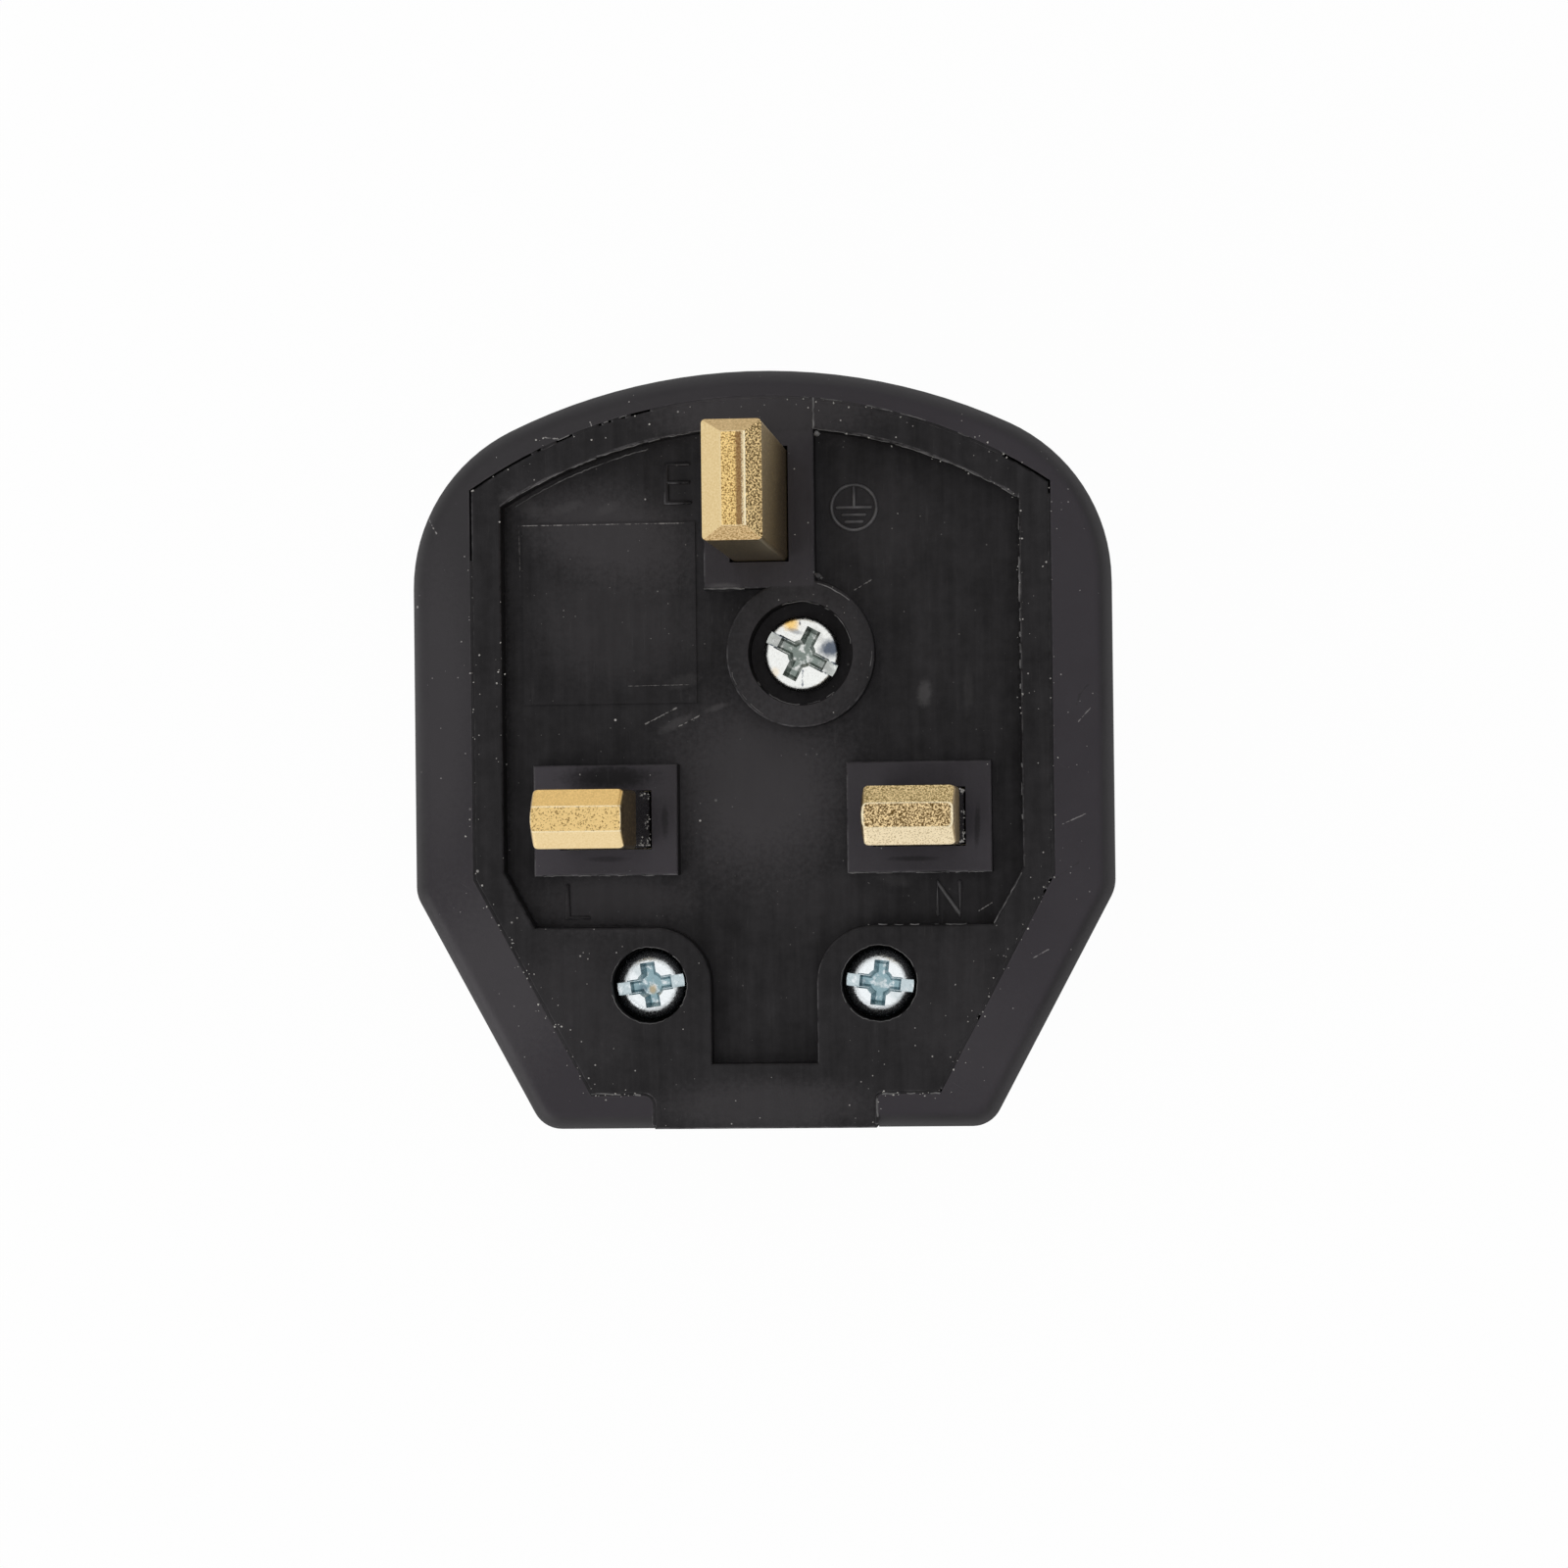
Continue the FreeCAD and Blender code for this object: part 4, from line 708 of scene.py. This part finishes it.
finishOf = {
    "cover": coverPlastic,
    "base_moulding": basePlastic,
    "cord_grip_bar": basePlastic,
    "earth_pin": earthPinBrass,
    "neutral_pin": neutralPinBrass,
    "line_pin": linePinBrass,
    "neutral_pin_sleeve": sleevePlastic,
    "line_pin_sleeve": sleevePlastic,
    "cover_screw": coverScrewZinc,
    "cord_grip_screws": gripScrewZinc,
    "terminal_screws": gripScrewZinc,
    "cover_screw_washer": washerFibre,
    "cover_screw_insert": plain["innerBrass"],
    "line_terminal": plain["innerBrass"],
    "line_fuse_clip": plain["innerBrass"],
    "load_fuse_clip": plain["innerBrass"],
    "fuse_barrel": plain["fuseCeramic"],
    "line_fuse_cap": plain["fuseNickel"],
    "load_fuse_cap": plain["fuseNickel"],
    "fuse_element": plain["fuseNickel"],
}

for name, material in finishOf.items():
    slots = nodes[name].data.materials
    slots.clear()
    slots.append(material)
print("finishes given to", len(finishOf), "solids")


# a thin rounded ridge along a line on the face; its ends reach on and narrow by shares of its width
ridgeShape = {"steps": 6, "reach": 0.4, "narrow": 0.45}


def ridgeRings(points, width, height, closed):
    bends = [math.pi * i / ridgeShape["steps"] for i in range(ridgeShape["steps"] + 1)]
    profile = [(math.cos(a) * width / 2, math.sin(a) * height) for a in bends]
    count = len(points)
    rings = []
    for i, point in enumerate(points):
        before = points[i - 1] if closed or i else point
        after = points[(i + 1) % count] if closed or i < count - 1 else point
        along = (after - before).normalized()
        side = Vector((-along.y, along.x, 0))
        leg = (after - point if after != point else point - before).normalized()
        spread = 1 / max(0.5, abs(along.dot(leg)))
        rings.append([point + side * (across * spread) + Vector((0, 0, up)) for across, up in profile])
    return rings


def addRidge(mesh, points, width, height, closed=False):
    points = [Vector(p) for p in points]
    if not closed:
        reach = width * ridgeShape["reach"]
        start = points[0] + (points[0] - points[1]).normalized() * reach
        end = points[-1] + (points[-1] - points[-2]).normalized() * reach
        rings = ridgeRings([start] + points + [end], width, height, False)
        for ring, centre in ((rings[0], start), (rings[-1], end)):
            for i, place in enumerate(ring):
                ring[i] = centre + (place - centre) * ridgeShape["narrow"]
    else:
        rings = ridgeRings(points, width, height, True)
    made = [[mesh.verts.new(p) for p in ring] for ring in rings]
    pairs = list(zip(made, made[1:])) + ([(made[-1], made[0])] if closed else [])
    for first, second in pairs:
        for i in range(len(first)):
            j = (i + 1) % len(first)
            mesh.faces.new((first[i], first[j], second[j], second[i]))
    if not closed:
        mesh.faces.new(made[0][::-1])
        mesh.faces.new(made[-1])


def smoothObject(name, mesh, material):
    bmesh.ops.recalc_face_normals(mesh, faces=mesh.faces)
    data = bpy.data.meshes.new(name)
    mesh.to_mesh(data)
    mesh.free()
    for face in data.polygons:
        face.use_smooth = True
    data.materials.append(material)
    made = bpy.data.objects.new(name, data)
    scene.collection.objects.link(made)
    return made


def newPiece(name, mesh, material):
    piece = smoothObject(name, mesh, material)
    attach(piece, "root")


# raised letters beside the pins, strokes in millimetres on the floor of the recess
letterStrokes = {
    "earth_letter": [[(-5.13, 20.40), (-6.72, 20.40), (-6.72, 17.64), (-5.02, 17.64)],
                     [(-6.72, 19.10), (-5.13, 19.10)]],
    "line_letter": [[(-14.10, -9.55), (-14.10, -11.86), (-12.61, -11.86)]],
    "neutral_letter": [[(12.26, -11.90), (12.26, -9.59), (13.84, -11.92), (13.84, -9.59)]],
}
letterSize = {"width": 0.27, "height": 0.24, "sink": 0.03}
letterFinish = {
    "earth_letter": basePlastic, "line_letter": basePlastic, "neutral_letter": plain["markPlastic"],
}


def makeLetters(strokes, size):
    z = recessZ - size["sink"] * mm
    for name, lines in strokes.items():
        mesh = bmesh.new()
        for line in lines:
            points = [(x * mm, y * mm, z) for x, y in line]
            addRidge(mesh, points, size["width"] * mm, size["height"] * mm)
        newPiece(name, mesh, letterFinish[name])


# earth symbol: a ring round a stem and three bars
earthSign = {"centre": (6.64, 17.08), "radius": 1.6, "stem": (0.0, 1.45), "width": 0.24, "height": 0.22,
             "bars": ((0.0, 1.20), (-0.53, 0.80), (-1.02, 0.59)), "sink": 0.03, "steps": 56}


def makeEarthSign(sign):
    cx, cy = sign["centre"]
    z = recessZ - sign["sink"] * mm
    width = sign["width"] * mm
    height = sign["height"] * mm
    mesh = bmesh.new()
    turns = [2 * math.pi * i / sign["steps"] for i in range(sign["steps"])]
    ring = [((cx + sign["radius"] * math.cos(a)) * mm, (cy + sign["radius"] * math.sin(a)) * mm, z)
            for a in turns]
    addRidge(mesh, ring, width, height, closed=True)
    low, high = sign["stem"]
    addRidge(mesh, [(cx * mm, (cy + low) * mm, z), (cx * mm, (cy + high) * mm, z)], width, height)
    for drop, reach in sign["bars"]:
        y = (cy + drop) * mm
        addRidge(mesh, [((cx - reach) * mm, y, z), ((cx + reach) * mm, y, z)], width, height)
    newPiece("earth_sign", mesh, plain["markPlastic"])


makeLetters(letterStrokes, letterSize)
makeEarthSign(earthSign)
print("raised letters and sign made")


# points every step along a run of straight legs, in millimetres
def walkLine(corners, step):
    places = []
    for (x0, y0), (x1, y1) in zip(corners, corners[1:]):
        count = max(1, round(math.hypot(x1 - x0, y1 - y0) / step))
        places += [(x0 + (x1 - x0) * i / count, y0 + (y1 - y0) * i / count) for i in range(count)]
    return places + [corners[-1]]


# arcs over the top of the face, which share one middle
arcMiddleY = -11.65
recessRadius = 34.4
partingRadius = 36.5


def arcLine(radius, fromX, toX, count=14):
    xs = [fromX + (toX - fromX) * i / count for i in range(count + 1)]
    return [(x, arcMiddleY + math.sqrt(radius * radius - x * x)) for x in xs]


def ringLine(x, y, radius, fromTurn, toTurn, count=24):
    turns = [math.radians(fromTurn + (toTurn - fromTurn) * i / count) for i in range(count + 1)]
    return [(x + radius * math.cos(a), y + radius * math.sin(a)) for a in turns]


# uneven broken ridges along lines: step, how far they stray, least and most of their size
flashRun = {"step": 0.28, "stray": 0.03, "least": 0.6, "most": 1.3}


def addFlash(mesh, lines, chance):
    stray, least, most = flashRun["stray"], flashRun["least"], flashRun["most"]
    for corners, z, width, height, share in lines:
        run = []
        for x, y in walkLine(corners, flashRun["step"]):
            if chance.random() < share:
                x += chance.uniform(-stray, stray)
                y += chance.uniform(-stray, stray)
                run.append((x * mm, y * mm, z * mm))
            else:
                if len(run) > 1:
                    wide, high = width * chance.uniform(least, most), height * chance.uniform(least, most)
                    addRidge(mesh, run, wide * mm, high * mm)
                run = []
        if len(run) > 1:
            addRidge(mesh, run, width * mm, height * mm)


# a rough round crumb, squashed in height
crumbLumps = {"least": 0.6, "most": 1.25}


def addCrumb(mesh, place, size, squash, chance):
    made = bmesh.ops.create_icosphere(mesh, subdivisions=1, radius=size)["verts"]
    for v in made:
        v.co *= chance.uniform(crumbLumps["least"], crumbLumps["most"])
        v.co.z *= squash
        v.co += place


# flash on the edges of the mouldings, pale so that it also lays painted highlights along them: corners in
# millimetres, height, width, rise and share left
mouldFlashAndHighlights = {
    "seed": 7, "blobSink": 0.05, "blobSquash": 0.45,
    "lines": [([(3.98, 24.7), (3.95, 22.6)], faceHigh - 0.02, 0.15, 0.08, 0.97),
              ([(-3.9, 11.36), (-1.1, 11.33)], faceHigh - 0.08, 0.14, 0.08, 0.9),
              ([(18.38, 18.0), (18.38, 4.0)], faceHigh - 0.1, 0.13, 0.1, 0.8),
              ([(18.38, 4.0), (18.38, -6.0)], faceHigh - 0.1, 0.10, 0.08, 0.45),
              (arcLine(recessRadius, 4.3, 18.2), faceHigh - 0.1, 0.09, 0.08, 0.93),
              (arcLine(recessRadius, -17.8, -4.4), faceHigh - 0.1, 0.08, 0.07, 0.95),
              (arcLine(recessRadius - 0.3, -17.6, -8.0), recessZ / mm - 0.02, 0.10, 0.07, 0.97),
              ([(-12.3, -24.3), (-8.9, -24.4)], faceHigh - 0.03, 0.16, 0.07, 0.8),
              ([(12.3, -24.42), (8.3, -24.45)], faceHigh - 0.03, 0.16, 0.07, 0.9),
              ([(7.93, -24.8), (7.92, -26.0)], faceHigh - 0.03, 0.15, 0.06, 0.9),
              ([(-7.93, -25.2), (-7.92, -26.0)], faceHigh - 0.03, 0.12, 0.06, 0.6),
              (ringLine(-gripScrewX, gripScrewY, 2.72, 0, 360), faceHigh - 0.03, 0.06, 0.05, 0.93),
              (ringLine(gripScrewX, gripScrewY, 2.72, 0, 360), faceHigh - 0.03, 0.06, 0.05, 0.93),
              (ringLine(coverScrewX, coverScrewY, 3.64, 10, 110), faceHigh - 0.03, 0.06, 0.05, 0.8),
              (ringLine(coverScrewX, coverScrewY, 3.64, 200, 310), faceHigh - 0.03, 0.06, 0.05, 0.7),
              (ringLine(coverScrewX, coverScrewY, 5.05, -20, 80), faceHigh - 0.05, 0.09, 0.06, 0.85),
              (ringLine(coverScrewX, coverScrewY, 5.05, 190, 250), faceHigh - 0.05, 0.09, 0.06, 0.6),
              ([(16.3, -12.5), (18.3, -9.0)], faceHigh - 0.03, 0.10, 0.07, 0.96),
              ([(8.2, -12.52), (16.3, -12.57)], faceHigh - 0.03, 0.07, 0.05, 0.75),
              ([(-16.1, -8.85), (-6.1, -8.87)], faceHigh - 0.05, 0.09, 0.06, 0.85),
              ([(6.1, -8.87), (16.2, -8.87)], faceHigh - 0.05, 0.09, 0.06, 0.85),
              (arcLine(partingRadius + 0.1, 1.0, 17.5), faceHigh - 0.02, 0.08, 0.05, 0.55),
              (arcLine(partingRadius + 0.1, -14.5, -3.0), faceHigh - 0.02, 0.08, 0.05, 0.45)],
    "blobs": [(4.2, 22.2, 0.27), (4.15, 12.15, 0.28), (4.4, 12.0, 0.16), (3.85, 12.4, 0.12)],
}


def makeFlashAndHighlights(flash):
    chance = random.Random(flash["seed"])
    mesh = bmesh.new()
    addFlash(mesh, flash["lines"], chance)
    for x, y, size in flash["blobs"]:
        place = Vector((x, y, faceHigh - flash["blobSink"]))
        addCrumb(mesh, place * mm, size * mm, flash["blobSquash"], chance)
    newPiece("mould_flash_and_highlights", mesh, plain["flashAndHighlightSkin"])


# parting line between base and cover where flash has closed it
partingLine = [(-20.52, 13.5), (-20.52, -9.05), (-12.3, -24.36), (-8.7, -24.4)]
partingSeal = {
    "seed": 3, "width": 0.34, "height": 0.10, "sink": 0.10,
    "runs": [(partingLine, 0.99), ([(20.52, 17.6), (20.52, -9.05), (12.5, -24.0)], 0.985),
             (arcLine(partingRadius + 0.02, -6.8, 17.2), 1.0),
             (arcLine(partingRadius + 0.02, -16.5, -6.8), 0.72),
             ([(-8.7, -24.4), (-8.05, -24.7), (-7.88, -25.2), (-7.88, -26.5)], 0.95),
             ([(12.3, -24.36), (8.3, -24.4), (7.95, -24.65), (7.88, -26.5)], 0.95)],
}


def makePartingSeal(seal):
    chance = random.Random(seal["seed"])
    mesh = bmesh.new()
    z = faceHigh - seal["sink"]
    addFlash(mesh, [(run, z, seal["width"], seal["height"], share) for run, share in seal["runs"]], chance)
    newPiece("parting_flash", mesh, basePlastic)


# crumbs caught along the parting line and the edges: line, how many, how far they stray; on the sleeves,
# pale crumbs as painted highlights in place of glints: middle and spread along y and z, how many
pinHalfWidth = 6.35 / 2
crumbSet = {
    "seed": 21, "low": 0.03, "high": 0.09, "step": 0.05, "lift": 0.01, "squash": 0.6,
    "runs": [(partingLine[:2], 20, 0.25), (partingLine[1:3], 40, 0.35),
             ([(-12.3, -24.3), (-8.0, -24.5)], 12, 0.2), ([(20.5, 18.5), (20.5, -9.0)], 14, 0.3),
             ([(20.4, -9.0), (12.4, -24.2)], 34, 0.35),
             ([(12.3, -24.4), (8.0, -24.5), (7.9, -26.3)], 14, 0.18),
             (arcLine(partingRadius, 2.0, 20.0), 22, 0.3), (arcLine(partingRadius, -20.0, -6.0), 16, 0.4),
             ([(18.4, 17.5), (18.4, 2.0)], 18, 0.16), (arcLine(recessRadius, 4.5, 18.2), 12, 0.14),
             ([(-18.45, 17.8), (-18.45, -8.0)], 12, 0.2)],
    "sleeveSides": (lineX + pinHalfWidth, neutralX + pinHalfWidth),
    "sleeveHalf": 1.8, "sleeveLow": 26.2, "sleeveHigh": 35.0,
    "patches": [(-6.5, 28.5, 0.25, 2.0, 16), (-3.2, 29.5, 0.15, 2.5, 12), (-5.0, 27.6, 0.5, 1.0, 10),
                (-6.8, 32.0, 0.12, 1.6, 8)],
}


def makeCrumbs(setting):
    chance = random.Random(setting["seed"])
    mesh = bmesh.new()
    for corners, count, stray in setting["runs"]:
        places = walkLine(corners, setting["step"])
        for i in range(count):
            x, y = chance.choice(places)
            size = setting["low"] + (setting["high"] - setting["low"]) * chance.random() ** 2
            offX, offY = chance.gauss(0, stray), chance.gauss(0, stray)
            place = Vector((x + offX, y + offY, faceHigh + setting["lift"]))
            addCrumb(mesh, place * mm, size * mm, setting["squash"], chance)
    # painted highlights: pale crumbs on the sleeve sides in place of glints
    half = setting["sleeveHalf"]
    for x in setting["sleeveSides"]:
        for y, z, spreadY, spreadZ, count in setting["patches"]:
            for i in range(count):
                size = setting["low"] + (setting["high"] - setting["low"]) * chance.random()
                offY = min(half, max(-half, chance.gauss(y, spreadY) - pinY))
                atZ = min(setting["sleeveHigh"], max(setting["sleeveLow"], chance.gauss(z, spreadZ)))
                addCrumb(mesh, Vector((x, pinY + offY, atZ)) * mm, size * mm, 1.0, chance)
    newPiece("dust_and_glint_crumbs", mesh, plain["crumbDustAndGlints"])


makeFlashAndHighlights(mouldFlashAndHighlights)
makePartingSeal(partingSeal)
makeCrumbs(crumbSet)
print("flash and crumbs made")


# white cove: a floor that curves up into a low wall, open above
coveShape = {"middle": 0.02, "flat": 0.75, "bend": 0.35, "wall": 0.55, "steps": 12, "around": 72}


def makeCove(shape, paint):
    profile = [(shape["middle"], 0.0), (shape["flat"], 0.0)]
    for i in range(1, shape["steps"] + 1):
        a = math.pi / 2 * i / shape["steps"]
        profile.append((shape["flat"] + shape["bend"] * math.sin(a), shape["bend"] * (1 - math.cos(a))))
    profile.append((shape["flat"] + shape["bend"], shape["wall"]))
    mesh = bmesh.new()
    rings = []
    for i in range(shape["around"]):
        a = 2 * math.pi * i / shape["around"]
        rings.append([mesh.verts.new((r * math.cos(a), r * math.sin(a), z)) for r, z in profile])
    for i, ring in enumerate(rings):
        after = rings[(i + 1) % len(rings)]
        for k in range(len(profile) - 1):
            mesh.faces.new((ring[k], ring[k + 1], after[k + 1], after[k]))
    mesh.faces.new([ring[0] for ring in rings])
    return smoothObject("cove", mesh, paint)


# the cove looks white to the camera and in reflections, and still takes a soft shadow
coveLook = {"paint": (0.82, 0.82, 0.82, 1), "white": (1, 1, 1, 1), "whiteShare": 0.97}


def makeCovePaint(look):
    material = bpy.data.materials.new("covePaint")
    material.use_nodes = True
    tree = material.node_tree
    tree.nodes.clear()
    paint = addNode(tree, "BsdfDiffuse", {"Color": look["paint"]})
    glow = addNode(tree, "Emission", {"Color": look["white"], "Strength": 1.0})
    path = addNode(tree, "LightPath").outputs
    seen = maths(tree, "MAXIMUM", path["Is Camera Ray"], path["Is Glossy Ray"])
    seen = maths(tree, "MAXIMUM", seen, path["Is Transmission Ray"])
    share = maths(tree, "MULTIPLY", seen, look["whiteShare"])
    mixed = addNode(tree, "MixShader", {0: share, 1: paint.outputs[0], 2: glow.outputs[0]})
    addNode(tree, "OutputMaterial", {"Surface": mixed.outputs[0]})
    return material


cove = makeCove(coveShape, makeCovePaint(coveLook))

# soft boxes round the part, place and size in metres, power in watts
lampAim = Vector((0, 0, 0.02))
skyLevel = 0.62
softBoxes = {
    "keyBox": {"place": (-0.50, -0.42, 0.42), "size": 0.5, "power": 1.5},
    "topBox": {"place": (0.05, 0.0, 0.95), "size": 0.8, "power": 1.0},
    "backBox": {"place": (-0.05, 0.60, 0.45), "size": 0.4, "power": 0.35},
}


def makeLights(boxes):
    for name, box in boxes.items():
        light = bpy.data.lights.new(name, "AREA")
        light.shape = "SQUARE"
        light.size = box["size"]
        light.energy = box["power"]
        lamp = bpy.data.objects.new(name, light)
        lamp.location = box["place"]
        lamp.rotation_euler = (lampAim - lamp.location).to_track_quat("-Z", "Y").to_euler()
        scene.collection.objects.link(lamp)


def makeWorld(level):
    world = bpy.data.worlds.new("studio")
    world.use_nodes = True
    tree = world.node_tree
    tree.nodes.clear()
    sky = addNode(tree, "Background", {"Color": (1, 1, 1, 1), "Strength": level})
    addNode(tree, "OutputWorld", {"Surface": sky.outputs[0]})
    scene.world = world


makeLights(softBoxes)
makeWorld(skyLevel)
scene.view_settings.view_transform = "Standard"
print("floor and lights set")

# camera over the face, a little to the right of the middle, in millimetres and degrees
viewSet = {
    "place": (25.57, -7.03, 342.72), "turn": (0.760, 4.3395, -0.6654),
    "lens": 103.25, "sensor": 36.0, "clipStart": 10.0,
}


def makeCamera(setting):
    data = bpy.data.cameras.new("photoCamera")
    data.lens = setting["lens"]
    data.sensor_width = setting["sensor"]
    data.sensor_fit = "HORIZONTAL"
    data.clip_start = setting["clipStart"] * mm
    camera = bpy.data.objects.new("photoCamera", data)
    camera.location = [v * mm for v in setting["place"]]
    camera.rotation_euler = [math.radians(v) for v in setting["turn"]]
    scene.collection.objects.link(camera)
    scene.camera = camera


makeCamera(viewSet)
print("camera set")
